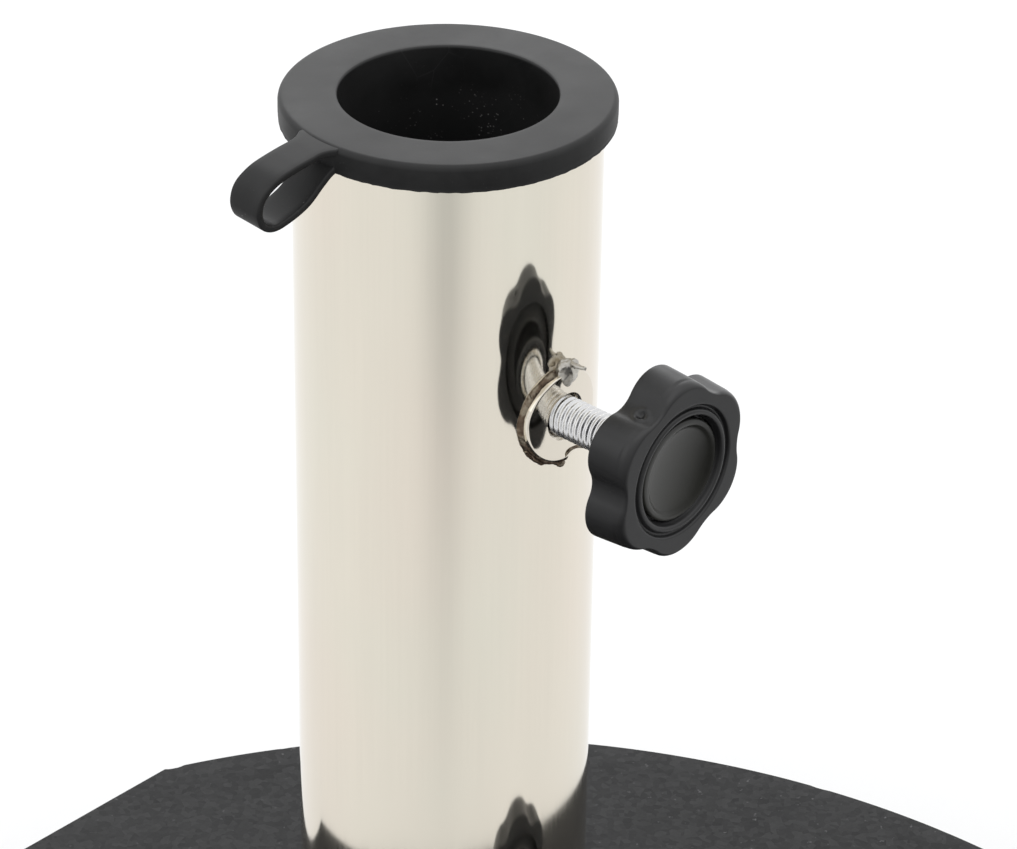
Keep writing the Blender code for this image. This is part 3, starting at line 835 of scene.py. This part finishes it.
# =============================== threaded bosses =======================================
def nut_rows(r_minor, depth, pitch, a0, a1, seg, step):
    """Rings of an internal vee thread."""
    rows = []
    n = int(round((a1 - a0) / step))
    for j in range(n + 1):
        z = a0 + (a1 - a0) * j / n
        ring = []
        for i in range(seg):
            th = 2 * math.pi * i / seg
            ph = (z / pitch - th / (2 * math.pi)) % 1.0
            t = abs(ph - 0.5) * 2.0
            t = min(1.0, max(0.0, (t - 0.2) / 0.7))
            lead = max(0.0, 0.55 - (a1 - z)) + max(0.0, 0.4 - (z - a0))
            r = max(r_minor + depth * t, r_minor + lead)
            ring.append((r * math.cos(th), r * math.sin(th), z))
        rows.append(ring)
    return rows


def rings_of(profile, seg):
    th = np.arange(seg) * 2 * math.pi / seg
    return [[(r * math.cos(t), r * math.sin(t), z) for t in th] for r, z in profile]


for tag, zc in (("upper", Z_UP), ("lower", Z_LO)):
    seg = 128
    rows = nut_rows(BOSS_BORE, 0.36, 1.25, BOSS_IN, BOSS_OUT, seg, 0.16)
    face = [(BOSS_BORE + 0.75, BOSS_OUT), (6.0, BOSS_OUT), (7.6, BOSS_OUT)]
    face += arc(BOSS_R - 0.42, BOSS_OUT - 0.42, 0.42, 90, 0, 6)
    face += [(BOSS_R, 29.6), (BOSS_R, 28.2), (BOSS_R, 26.6), (BOSS_R, BOSS_IN + 0.2), (BOSS_R - 0.2, BOSS_IN),
             (6.0, BOSS_IN)]
    v, f = skin(rows + rings_of(face, seg), wrap=True)
    for p in v:                                          # its face is dressed to the tube's curve
        w = min(1.0, max(0.0, (p[2] - 26.4) / (BOSS_OUT - 26.4)))
        p[2] -= (BOSS_OUT - math.sqrt(BOSS_OUT ** 2 - p[0] ** 2)) * w
    make(tag + "_threaded_boss_fine", onto_screw(v, zc), f, M_BOSS, "base", (tag + "_threaded_boss",),
         sharp=28)


# =============================== weld beads ============================================
def saddle(phi, rho, lift=0.0):
    """Point of the seam between a boss and the tube, at a bearing about the screw axis."""
    x, z = rho * math.cos(phi), rho * math.sin(phi)
    r = TUBE_R + lift
    return np.array([x, -math.sqrt(max(0.0, r * r - x * x)), z])


def weld_bead(seed, bumps):
    """A low fillet of weld that climbs from the tube a little way up the boss."""
    n, m = 420, 18
    rings = []
    for i in range(n):
        phi = 2 * math.pi * i / n
        cx, cy = math.cos(phi) * 2.4, math.sin(phi) * 2.4
        wob = fbm(cx + seed, cy, 0.3 * seed, 3)
        wide = 0.62 + 0.16 * wob + 0.015 * math.sin(phi * 52 + 2.5 * wob)
        tall = 0.95 + 0.22 * fbm(cx, cy, 2.0 + seed, 2)
        rho = BOSS_R + 0.04 + 0.14 * fbm(cx, cy + seed, 5.0, 2)
        for centre, width, out, grow in bumps:
            d = (phi - math.radians(centre) + math.pi) % (2 * math.pi) - math.pi
            w = math.exp(-(d / math.radians(width)) ** 2)
            rho += out * w
            wide += grow * w
            tall += 0.5 * grow * w
        wide = max(0.30, wide)
        c = saddle(phi, rho, 0.0)
        side = np.array([math.cos(phi), 0.0, math.sin(phi)])
        ring = []
        for k in range(m):
            a = 2 * math.pi * k / m
            rough = 1 + 0.13 * fbm(c[0] * 1.3 + math.cos(a), c[2] * 1.3 + math.sin(a), seed, 2)
            up = math.sin(a) * tall * rough
            ring.append(c + np.array([0.0, -1.0, 0.0]) * up
                        + side * (math.cos(a) * wide * rough - 0.28 * max(0.0, math.sin(a))))
        rings.append(ring)
    return skin(rings, wrap=True)


BEADS = {"upper": (3.1, [(-118, 6, 0.55, 0.10), (-98, 8, 0.35, 0.05), (-82, 5, 0.75, 0.42), (-60, 9, 0.2, -0.12),
                         (105, 9, -0.05, 0.2), (-150, 14, 0.05, -0.06)]),
         "lower": (8.4, [(-95, 12, 0.4, 0.2), (20, 14, 0.2, 0.12), (140, 9, 0.35, 0.25)])}
for tag, zc in (("upper", Z_UP), ("lower", Z_LO)):
    seed, bumps = BEADS[tag]
    v, f = weld_bead(seed, bumps)
    v[:, 2] += zc
    ob = make(tag + "_weld_bead", v, f, M_WELD, "base", sharp=50)


def blob(centre, radii, seed, rough, lat=26, lon=36, turn=None):
    """Lumpy drop of weld metal."""
    verts, faces, rows = [], [], []
    c = np.array(centre, float)
    for i in range(lat + 1):
        a = math.pi * i / lat
        if i in (0, lat):
            p = np.array([0, 0, math.cos(a)])
            rows.append([len(verts)])
            verts.append(p)
            continue
        row = []
        for j in range(lon):
            b = 2 * math.pi * j / lon
            row.append(len(verts))
            verts.append(np.array([math.sin(a) * math.cos(b), math.sin(a) * math.sin(b), math.cos(a)]))
        rows.append(row)
    for ra, rb in zip(rows, rows[1:]):
        for j in range(lon):
            k = (j + 1) % lon
            if len(ra) == 1:
                faces.append((ra[0], rb[j], rb[k]))
            elif len(rb) == 1:
                faces.append((ra[j], rb[0], ra[k]))
            else:
                faces.append((ra[j], rb[j], rb[k], ra[k]))
    out = []
    for p in verts:
        k = 1 + rough * fbm(p[0] * 1.7 + seed, p[1] * 1.7, p[2] * 1.7, 4)
        q = p * np.array(radii) * k
        if turn is not None:
            q = np.array(turn @ Vector(q))
        out.append(c + q)
    return np.array(out), faces


def merged(parts):
    verts, faces, base = [], [], 0
    for v, f in parts:
        if signed_volume(v, f) < 0:
            f = [tuple(reversed(q)) for q in f]
        verts.append(np.asarray(v, float))
        faces += [tuple(i + base for i in q) for q in f]
        base += len(v)
    return np.vstack(verts), faces


def spike(p0, p1, r0, r1, seed, n=14, m=10):
    """Thin whisker of wire left by the weld."""
    p0, p1 = np.array(p0, float), np.array(p1, float)
    t = (p1 - p0) / np.linalg.norm(p1 - p0)
    u = np.cross(t, [0.3, 0.2, 0.9])
    u /= np.linalg.norm(u)
    w = np.cross(t, u)
    rings = []
    for i in range(n + 1):
        s = i / n
        c = p0 + (p1 - p0) * s + u * 0.16 * math.sin(s * 3.0 + seed) + w * 0.10 * math.sin(s * 4.0)
        r = r0 + (r1 - r0) * s
        if i == n:
            r *= 0.45
        rings.append([c + r * (1 + 0.12 * fbm(s * 5 + seed, k, 0.2, 2))
                      * (u * math.cos(2 * math.pi * k / m) + w * math.sin(2 * math.pi * k / m)) for k in range(m)])
    return skin(rings)


tilt = Matrix.Rotation(math.radians(-18), 3, "Y")
parts = [blob((0.6, -30.1, 294.1), (2.45, 1.75, 2.85), 1.3, 0.26, turn=tilt),
         blob((-0.9, -30.3, 295.6), (1.15, 0.95, 1.0), 4.2, 0.34),
         blob((1.5, -30.9, 295.7), (1.05, 0.9, 1.0), 7.7, 0.32),
         spike((0.9, -31.0, 296.1), (1.2, -34.3, 296.0), 0.52, 0.34, 0.4)]
v, f = merged(parts)
make("upper_weld_spatter", v, f, M_SPATTER, "base", sharp=50)
def whisker(points, radius, seed, m=9):
    """Thin bead of weld that runs over the tube through the given points."""
    pts = catmull3([np.array(p, float) for p in points], 8)
    rings = []
    for i, c in enumerate(pts):
        a, b = pts[max(i - 1, 0)], pts[min(i + 1, len(pts) - 1)]
        t = (b - a) / np.linalg.norm(b - a)
        out = np.array([c[0], c[1], 0.0]) / math.hypot(c[0], c[1])
        u = np.cross(t, out)
        u /= np.linalg.norm(u)
        w = np.cross(u, t)
        r = radius * (1 + 0.35 * fbm(i * 0.21, seed, 0.5, 3)) * (0.45 if i in (0, len(pts) - 1) else 1.0)
        rings.append([c + r * (u * math.cos(2 * math.pi * k / m) + w * math.sin(2 * math.pi * k / m)) for k in range(m)])
    return skin(rings)


def catmull3(pts, per):
    ext = [pts[0] * 2 - pts[1]] + pts + [pts[-1] * 2 - pts[-2]]
    out = []
    for i in range(1, len(ext) - 2):
        a, b, c, d = ext[i - 1:i + 3]
        for k in range(per):
            t = k / per
            out.append(0.5 * (2 * b + (c - a) * t + (2 * a - 5 * b + 4 * c - d) * t * t + (3 * b - a - 3 * c + d) * t ** 3))
    out.append(ext[-2])
    return out


parts = [whisker([(-8.2, -28.0, 280.0), (-7.3, -28.4, 278.9), (-6.4, -28.65, 277.5), (-5.0, -28.9, 276.5),
                  (-2.6, -29.2, 275.5), (0.0, -29.3, 274.3)], 0.42, 1.0),
         whisker([(0.0, -29.3, 274.3), (-0.0, -30.2, 275.5), (0.2, -30.8, 276.7), (1.4, -30.9, 277.3), (3.6, -30.7, 276.9), (6.2, -30.2, 275.5)], 0.25, 2.0),
         spike((-7.0, -28.5, 278.0), (-8.1, -28.2, 279.2), 0.30, 0.14, 3.0),
         blob((0.2, -29.4, 274.3), (1.05, 0.7, 0.8), 2.6, 0.3, 16, 22),
         blob((-4.6, -29.0, 276.2), (0.6, 0.5, 0.5), 5.6, 0.3, 16, 22)]
v, f = merged(parts)
make("upper_weld_burrs", v, f, M_WELD, "base", sharp=50)


# =============================== studs, pads and inserts ===============================
for tag, zc in (("upper", Z_UP), ("lower", Z_LO)):
    seg = 96
    inner = [(1.7, 29.6), (1.7, 26.5), (1.7, 24.95), (1.95, 24.62)]
    rows = rings_of(inner, seg) + rings_of([(2.6, 24.6)], seg)
    rows += thread_rows(3.97, 0.46, 1.25, 24.6, 54.0, seg, 0.118, chamfer0=0.75, chamfer1=0.4)
    v, f = skin(rows)
    make(tag + "_stud_fine", onto_screw(v, zc), f, M_ZINC, tag + "_screw", (tag + "_stud",), sharp=80)

    prof = [(0.0, 22.6), (1.2, 22.62), (2.3, 22.74)] + arc(2.6, 23.2, 0.5, 280, 360, 5)
    prof += [(3.1, 23.9), (2.98, 24.2), (1.55, 24.3), (1.4, 24.45), (1.4, 26.4), (1.55, 26.7), (1.5, 27.2), (1.2, 28.2),
             (0.9, 28.75), (0.0, 28.8)]
    v, f = turned(prof, 64)
    make(tag + "_thrust_pad_fine", onto_screw(v, zc), f, M_NYLON, tag + "_thrust", (tag + "_thrust_pad",))

    seg = 120
    rows = rings_of([(4.22, 53.5), (4.22, 50.0), (4.22, 46.1), (4.5, 45.72), (5.2, 45.7), (5.55, 45.9)], seg)
    for a in (47.6, 47.9, 51.0, 51.3):
        plain = a in (47.6, 51.3)
        rows.append([((5.5 if plain else 5.6 - 0.22 * (i % 3 == 0)) * math.cos(2 * math.pi * i / seg),
                      (5.5 if plain else 5.6 - 0.22 * (i % 3 == 0)) * math.sin(2 * math.pi * i / seg), a) for i in range(seg)])
    rows += rings_of([(5.45, 53.2), (5.1, 53.6)], seg)
    v, f = skin(rows, wrap=True)
    make(tag + "_hub_insert_fine", onto_screw(v, zc), f, M_ZINC, tag + "_screw", (tag + "_hub_insert",))


# =============================== knobs =================================================
LOBE_R, VALLEY_R, LOBE_ARC, LOBES = 18.5, 15.5, 7.0, 6
LOBE_TURN = -1.9
KN = 432


def knob_outline():
    e, k = LOBE_R - LOBE_ARC, math.cos(math.pi / LOBES)
    rv = ((e * e + VALLEY_R ** 2 - 2 * e * VALLEY_R * k - LOBE_ARC ** 2) / (2 * (LOBE_ARC - VALLEY_R + e * k)))
    d = VALLEY_R + rv
    step = 2 * math.pi / LOBES
    t = rv / (rv + LOBE_ARC)
    touch = math.atan2(e * math.sin(step / 2) * t, d + (e * math.cos(step / 2) - d) * t)
    pts = []
    for i in range(KN):
        phi = 2 * math.pi * i / KN
        p = abs((phi + step / 2) % step - step / 2)
        if p <= touch:
            r = d * math.cos(p) - math.sqrt(max(0.0, rv * rv - (d * math.sin(p)) ** 2))
        else:
            q = step / 2 - p
            r = e * math.cos(q) + math.sqrt(LOBE_ARC ** 2 - (e * math.sin(q)) ** 2)
        pts.append((r * math.cos(phi), r * math.sin(phi)))
    return np.array(pts)


OUT = knob_outline()
tan = np.roll(OUT, -1, 0) - np.roll(OUT, 1, 0)
tan /= np.linalg.norm(tan, axis=1)[:, None]
NRM = np.column_stack([tan[:, 1], -tan[:, 0]])
ANG = np.arctan2(OUT[:, 1], OUT[:, 0])


FACE_A, BACK_A = 59.5, 50.8
REACH = np.hypot(OUT[:, 0], OUT[:, 1])
CROWN = (REACH - VALLEY_R) / (LOBE_R - VALLEY_R)            # 0 in a valley, 1 on a lobe
DRAFT = OUT / REACH[:, None] * CROWN[:, None]


def lobed(inset, a):
    p = OUT - NRM * inset - DRAFT * (0.75 * max(0.0, (a - BACK_A) / (FACE_A - BACK_A)))
    return np.column_stack([p, np.full(KN, a)])


def circle(r, a):
    return np.column_stack([r * np.cos(ANG), r * np.sin(ANG), np.full(KN, a)])


def between(p, q, t):
    return p * (1 - t) + q * t


ROUND_R, ROUND_A = 1.2, 2.0
for tag, zc, turn, seed in (("upper", Z_UP, 0.0, 0.0), ("lower", Z_LO, 7.0, 11.0)):
    rows = [circle(5.9, 54.2), circle(5.9, 50.0), circle(5.9, 46.5), circle(6.15, 46.1), circle(6.5, 46.0),
            circle(7.2, 46.0), circle(7.6, 46.12), circle(7.8, 46.45), circle(7.85, 47.0), circle(7.95, 50.0),
            circle(8.05, 52.5), circle(8.3, 53.05), circle(8.8, 53.3), circle(10.3, 53.3), circle(11.7, 53.3),
            circle(12.2, 53.1), circle(12.45, 52.6), circle(12.6, 51.6), circle(12.75, 51.15), circle(13.0, 50.9),
            circle(13.4, BACK_A)]
    edge = lobed(0.4, BACK_A)
    rows += [between(rows[-1], edge, 0.4), between(rows[-1], edge, 0.8), edge]
    for k in range(1, 6):
        w = math.radians(90 * k / 5)
        rows.append(lobed(0.4 * (1 - math.sin(w)), BACK_A + 0.4 * (1 - math.cos(w))))
    for a in (51.7, 52.3, 52.9, 53.5, 54.1, 54.7, 55.1, 55.5, 55.9, 56.3, 56.9, 57.3):
        rows.append(lobed(0.0, a))
    for k in range(0, 11):
        w = math.radians(90 * k / 10)
        ring = lobed(0.0, FACE_A - 0.5)
        ring[:, :2] -= NRM * (0.35 + (ROUND_R - 0.35) * CROWN)[:, None] * (1 - math.cos(w))
        ring[:, 2] = FACE_A - (0.6 + (ROUND_A - 0.6) * CROWN) * (1 - math.sin(w))
        rows.append(ring)
    last = rows[-1]
    inner = circle(13.4, FACE_A)
    rows += [between(last, inner, t) for t in (0.12, 0.4, 0.7, 0.92, 1.0)]
    for r, drop in ((13.2, 0.03), (13.04, 0.16), (12.95, 0.44), (12.84, 0.74), (12.64, 0.92), (12.42, 0.92),
                    (12.24, 0.75), (12.13, 0.45), (12.02, 0.2), (11.84, 0.07), (11.5, 0.03), (11.16, 0.09),
                    (10.98, 0.25), (10.88, 0.5), (10.8, 0.86), (10.66, 1.12), (10.48, 1.3), (10.4, 1.5),
                    (10.4, 2.0), (10.4, 2.55)):
        rows.append(circle(r, FACE_A - drop))
    rows = [np.array(r) for r in rows]
    # a small dent in one scallop, and a slow unevenness of the moulding
    if tag == "upper":
        phi0, a0 = math.radians(121.5), 55.5
        for row in rows:
            rr = np.hypot(row[:, 0], row[:, 1])
            if row[0, 2] < 51.6 or row[0, 2] > 58.9 or rr.min() < 14.0:
                continue
            da = row[0, 2] - a0
            for i in range(KN):
                dphi = (ANG[i] - phi0 + math.pi) % (2 * math.pi) - math.pi
                d = math.hypot(dphi * 15.4, da)
                dent = 0.62 * math.exp(-(d / 0.72) ** 2) - 0.24 * math.exp(-((d - 1.2) / 0.36) ** 2)
                row[i, 0] -= NRM[i, 0] * dent
                row[i, 1] -= NRM[i, 1] * dent
    for row in rows:
        rr = np.hypot(row[:, 0], row[:, 1])
        if rr.min() > 13.5:
            for i in range(KN):
                w = 0.035 * fbm(row[i, 0] * 0.22 + seed, row[i, 1] * 0.22, row[i, 2] * 0.22, 3)
                row[i, 0] += NRM[i, 0] * w
                row[i, 1] += NRM[i, 1] * w
    v, f = skin(rows)
    make(tag + "_knob_fine", onto_screw(v, zc, math.radians(turn + LOBE_TURN)), f, M_KNOB, tag + "_screw", (tag + "_knob",),
         sharp=48)

    prof = [(0.0, 57.22), (9.7, 57.22)] + arc(9.8, 57.52, 0.3, 270, 360, 3)
    prof += [(10.1, 58.1), (10.08, 58.4), (9.98, 58.68), (9.8, 58.85), (9.5, 58.95), (9.15, 58.98), (8.92, 58.92),
             (8.72, 58.75), (8.5, 58.5), (8.25, 58.32), (7.9, 58.2), (7.4, 58.1), (6.4, 57.96), (5.0, 57.83), (3.4, 57.73),
             (1.8, 57.67), (0.0, 57.65)]
    v, f = turned(prof, 180)
    make(tag + "_knob_cap_fine", onto_screw(v, zc, math.radians(turn)), f, M_CAP[zc], tag + "_screw",
         (tag + "_knob_cap",), sharp=60)


# =============================== reducer ===============================================
HOLE_R, SLEEVE_R, FLANGE_R, FLANGE_T, SLEEVE_L = 20.4, 23.0, 31.4, 5.4, 35.0
LOW = -FLANGE_T - SLEEVE_L
prof = [(HOLE_R, LOW + 1.2), (HOLE_R + 0.25, LOW + 0.5), (HOLE_R + 0.6, LOW + 0.06), (HOLE_R + 1.0, LOW),
        (SLEEVE_R - 0.6, LOW)] + arc(SLEEVE_R - 0.5, LOW + 0.5, 0.5, 280, 360, 5)
prof += [(SLEEVE_R, LOW + z) for z in (4.0, 10.0, 16.0, 22.0, 28.0, 33.0)] + arc(SLEEVE_R + 0.8, -FLANGE_T - 0.8, 0.8, 180, 90, 5)
prof += [(26.5, -FLANGE_T), (29.5, -FLANGE_T), (30.8, -FLANGE_T - 0.02), (31.22, -FLANGE_T + 0.04), (31.36, -FLANGE_T + 0.22),
         (31.3, -FLANGE_T + 0.5), (31.36, -4.4), (31.4, -3.6), (31.4, -2.9)]
RIM = 1.25
prof += arc(FLANGE_R - RIM, -RIM, RIM, 8, 90, 12)
prof += [(28.8, 0.0), (26.9, 0.0), (25.2, 0.0), (23.6, 0.0), (22.4, 0.0), (21.5, 0.0)]
prof += [(HOLE_R + 0.45 - 0.45 * math.sin(t), -0.6 + 0.6 * math.cos(t)) for t in (0.12, 0.35, 0.6, 0.85, 1.1, 1.35, 1.55)]
prof += [(HOLE_R, -z) for z in (4.0, 8.0, 12.0, 17.0, 22.0, 27.0, 32.0, 37.0)]
SEG = 360


def reducer_warp(v):
    for p in v:
        r, az = math.hypot(p[0], p[1]), math.atan2(p[1], p[0])
        cx, cy = math.cos(az) * 3, math.sin(az) * 3
        k = 0.0
        if r > 30.5 and p[2] < -4.7:                     # trimmed flash along the lower edge
            k = 0.16 * max(0.0, fbm(cx * 5, cy * 5, 1.0, 3)) - 0.05
            p[2] += 0.22 * fbm(cx * 6, cy * 6, 4.0, 3)
        elif r > 24:
            k = 0.05 * fbm(cx, cy, 7.0, 2)
            if p[2] > -0.5:
                p[2] -= 0.05 * max(0.0, fbm(p[0] * 0.12, p[1] * 0.12, 3.0, 3))
        s = 1 + k / r
        p[0] *= s
        p[1] *= s
        p[2] = min(p[2], 0.0)
        rr = math.hypot(p[0], p[1])
        if rr > FLANGE_R:
            p[0] *= FLANGE_R / rr
            p[1] *= FLANGE_R / rr
    return v


parts = [turned(prof, SEG, reducer_warp)]
for k in range(8):                                      # guide ribs on the sleeve
    w0 = math.radians(22.5 + 45.0 * k)
    sec = []
    z0, z1 = LOW + 2.5, -FLANGE_T + 0.6
    for z, r1, hw in ((z0, 23.4, 0.55), (z0 + 0.6, 24.6, 0.72), (z0 + 2.2, 26.3, 0.84), (z0 + 4.0, 27.2, 0.9), (z0 + 6.0, 27.4, 0.9),
                      (z0 + 18.0, 27.4, 0.9), (z1 - 2.0, 27.4, 0.9), (z1, 27.4, 0.9)):
        ring = [(22.3, -hw), (r1 - 0.4, -hw)] + [(r1 - 0.4 + 0.4 * math.sin(t), -hw + 0.4 - 0.4 * math.cos(t)) for t in (0.4, 0.8, 1.2, math.pi / 2)]
        ring += [(x, -y) for x, y in reversed(ring)]
        sec.append([(x * math.cos(w0) - y * math.sin(w0), x * math.sin(w0) + y * math.cos(w0), z) for x, y in ring])
    parts.append(skin(sec))

line = catmull([(26.5, -0.76), (29.0, -0.78), (31.6, -0.98), (34.6, -1.40), (39.2, -2.25), (43.4, -3.45), (46.5, -5.6),
                (47.5, -8.5), (46.6, -11.15), (44.2, -12.3), (40.8, -11.75), (36.6, -10.0), (33.4, -7.3), (31.3, -5.2),
                (29.8, -4.0), (28.0, -3.6)], 12)
az = math.radians(LOOP_AZ)
rings = []
prev = None
for i, p in enumerate(line):
    a, b = line[max(i - 1, 0)], line[min(i + 1, len(line) - 1)]
    t = (b - a) / np.linalg.norm(b - a)
    n = np.array([-t[1], t[0]])
    r, z = float(p[0]), float(p[1])
    flare = min(1.3, 1.3 * max(0.0, (34.0 - r) / 3.0) ** 2.0) * (1.0 if i < len(line) // 2 else 0.5)
    hw = 8.2 / 2 + flare + 0.05 * fbm(i * 0.08, 0.0, 2.0, 2)
    hh = 0.69 * (1.0 + 0.03 * fbm(i * 0.06, 3.0, 0.0, 2))
    c = 0.42
    sec = []
    for sx, sy, q0 in ((1, 1, 0), (-1, 1, 90), (-1, -1, 180), (1, -1, 270)):
        for k in range(6):
            w = math.radians(q0 + 90 * k / 5)
            sec.append((sx * (hw - c) + c * math.cos(w), sy * (hh - c) + c * math.sin(w)))
        if sx * sy > 0:                                   # extra points across the flat faces
            for k in range(1, 6):
                x = (hw - c) * (1 - 2 * k / 6) * sx
                sec.append((x, sy * hh * (1 - 0.015 * (1 - (2 * k / 6 - 1) ** 2))))
    ring = []
    for x, y in sec:
        rr, zz = r + n[0] * y, z + n[1] * y
        ring.append((rr * math.cos(az) - x * math.sin(az), rr * math.sin(az) + x * math.cos(az), min(zz, -0.015)))
    rings.append(ring)
parts.append(skin(rings))
v, f = merged(parts)
for p in v:                                             # the flange sits a little low at the back
    lean = (p[0] * math.cos(0.74) + p[1] * math.sin(0.74)) / FLANGE_R
    w = min(1.0, max(0.0, (p[2] + 4.6) / 3.4))
    p[2] -= (0.5 + 0.42 * max(-1.0, lean)) * w
v[:, 2] += TOP
make("reducer_fine", v, f, M_REDUCER, "reducer", ("reducer",), sharp=42)


# =============================== floor, lights, camera =================================
SHADOW_AZ, SHADOW_HALF, SHADOW_DEPTH = 223.4, 17.0, 0.30


def floor_material():
    """Pale paper with a painted shadow: a soft, darker wedge on it in front of the pole, which shows only in the
    steel's reflections."""
    s = Mat("floor_paper")
    n = s.noise(3.0, 3.0, 0.5)
    paper = s.mix(s.span(n, 0.3, 0.7), (0.915, 0.915, 0.912, 1.0), (0.935, 0.935, 0.932, 1.0))
    az = math.radians(SHADOW_AZ)
    x, y, _ = s.xyz(s.mapped((1, 1, 1), loc=(0.0, -AXIS_Y * 0.001, 0.0)))
    along = s.math("ADD", s.math("MULTIPLY", x, math.cos(az)), s.math("MULTIPLY", y, math.sin(az)))
    across = s.math("ADD", s.math("MULTIPLY", x, -math.sin(az)), s.math("MULTIPLY", y, math.cos(az)))
    off = s.math("ABSOLUTE", s.math("ARCTAN2", across, along))
    q = s.math("DIVIDE", off, math.radians(SHADOW_HALF))
    bell = s.math("EXPONENT", s.math("MULTIPLY", s.math("MULTIPLY", q, q), -1.0))
    reach = s.span(along, 0.28, 0.62, 0.0, SHADOW_DEPTH)
    fade = s.span(along, 0.9, 1.5, 1.0, 0.0)
    # painted shadow: the wedge darkens the paper for glossy rays only
    dark = s.math("MULTIPLY", s.math("MULTIPLY", bell, reach), fade)
    path = s.node("ShaderNodeLightPath")
    dark = s.math("MULTIPLY", dark, path.outputs["Is Glossy Ray"])
    s.to("Base Color", s.mix(dark, paper, (0.0, 0.0, 0.0, 1.0)))
    s.set(Roughness=0.9, **{"Specular_IOR_Level": 0.1})
    s.to("Normal", s.bump(s.noise(900.0, 2.0), 0.05, 0.0001))
    return s.m


me = bpy.data.meshes.new("studio_floor")
n, half = 24, 4.0
vv = [(-half + 2 * half * i / n, -half + 2 * half * j / n, 0.0) for j in range(n + 1) for i in range(n + 1)]
ff = [(j * (n + 1) + i, j * (n + 1) + i + 1, (j + 1) * (n + 1) + i + 1, (j + 1) * (n + 1) + i) for j in range(n) for i in range(n)]
me.from_pydata(vv, [], ff)
me.materials.append(floor_material())
floor = bpy.data.objects.new("studio_floor", me)
bpy.context.scene.collection.objects.link(floor)

world = bpy.data.worlds.new("studio")
bpy.context.scene.world = world
world.use_nodes = True
bg = world.node_tree.nodes["Background"]
bg.inputs["Color"].default_value = (0.985, 0.99, 1.0, 1.0)
bg.inputs["Strength"].default_value = 1.02


def softbox(name, loc, target, size, watts, colour=(1.0, 1.0, 1.0)):
    li = bpy.data.lights.new(name, "AREA")
    li.shape = "RECTANGLE"
    li.size, li.size_y = size
    li.energy = watts
    li.color = colour
    ob = bpy.data.objects.new(name, li)
    bpy.context.scene.collection.objects.link(ob)
    ob.location = loc
    ob.rotation_euler = (Vector(target) - Vector(loc)).to_track_quat("-Z", "Y").to_euler()
    return ob


mid = (0.0, 0.0, 0.25)
softbox("softbox_back", (1.25, 1.35, 1.35), mid, (1.6, 0.9), 5.0)
softbox("softbox_left", (-1.7, 0.5, 1.3), mid, (1.1, 1.4), 2.5)
softbox("softbox_top", (0.1, -0.2, 2.1), mid, (1.6, 1.6), 3.0)

cam_data = bpy.data.cameras.new("camera")
cam = bpy.data.objects.new("camera", cam_data)
bpy.context.scene.collection.objects.link(cam)
cam_data.sensor_fit = "HORIZONTAL"
cam_data.sensor_width = 36.0
cam_data.lens = 148.963
cam_data.clip_start = 0.01
cam_data.clip_end = 50.0
right = Vector((0.67990888, -0.73317903, 0.01313116)).normalized()
down = Vector((-0.36315861, -0.35222164, -0.86258666))
fwd = Vector((0.63705552, 0.58171163, -0.50573890)).normalized()
down = (down - fwd * down.dot(fwd)).normalized()
right = down.cross(fwd).normalized()
m = Matrix.Identity(4)
for i in range(3):
    m[i][0], m[i][1], m[i][2] = right[i], -down[i], -fwd[i]
m[0][3], m[1][3], m[2][3] = -0.5070413, -0.4792109 + AXIS_Y * 0.001, 0.6798342
cam.matrix_world = m
bpy.context.scene.camera = cam
bpy.context.scene.view_settings.view_transform = "Standard"
bpy.context.scene.view_settings.look = "None"
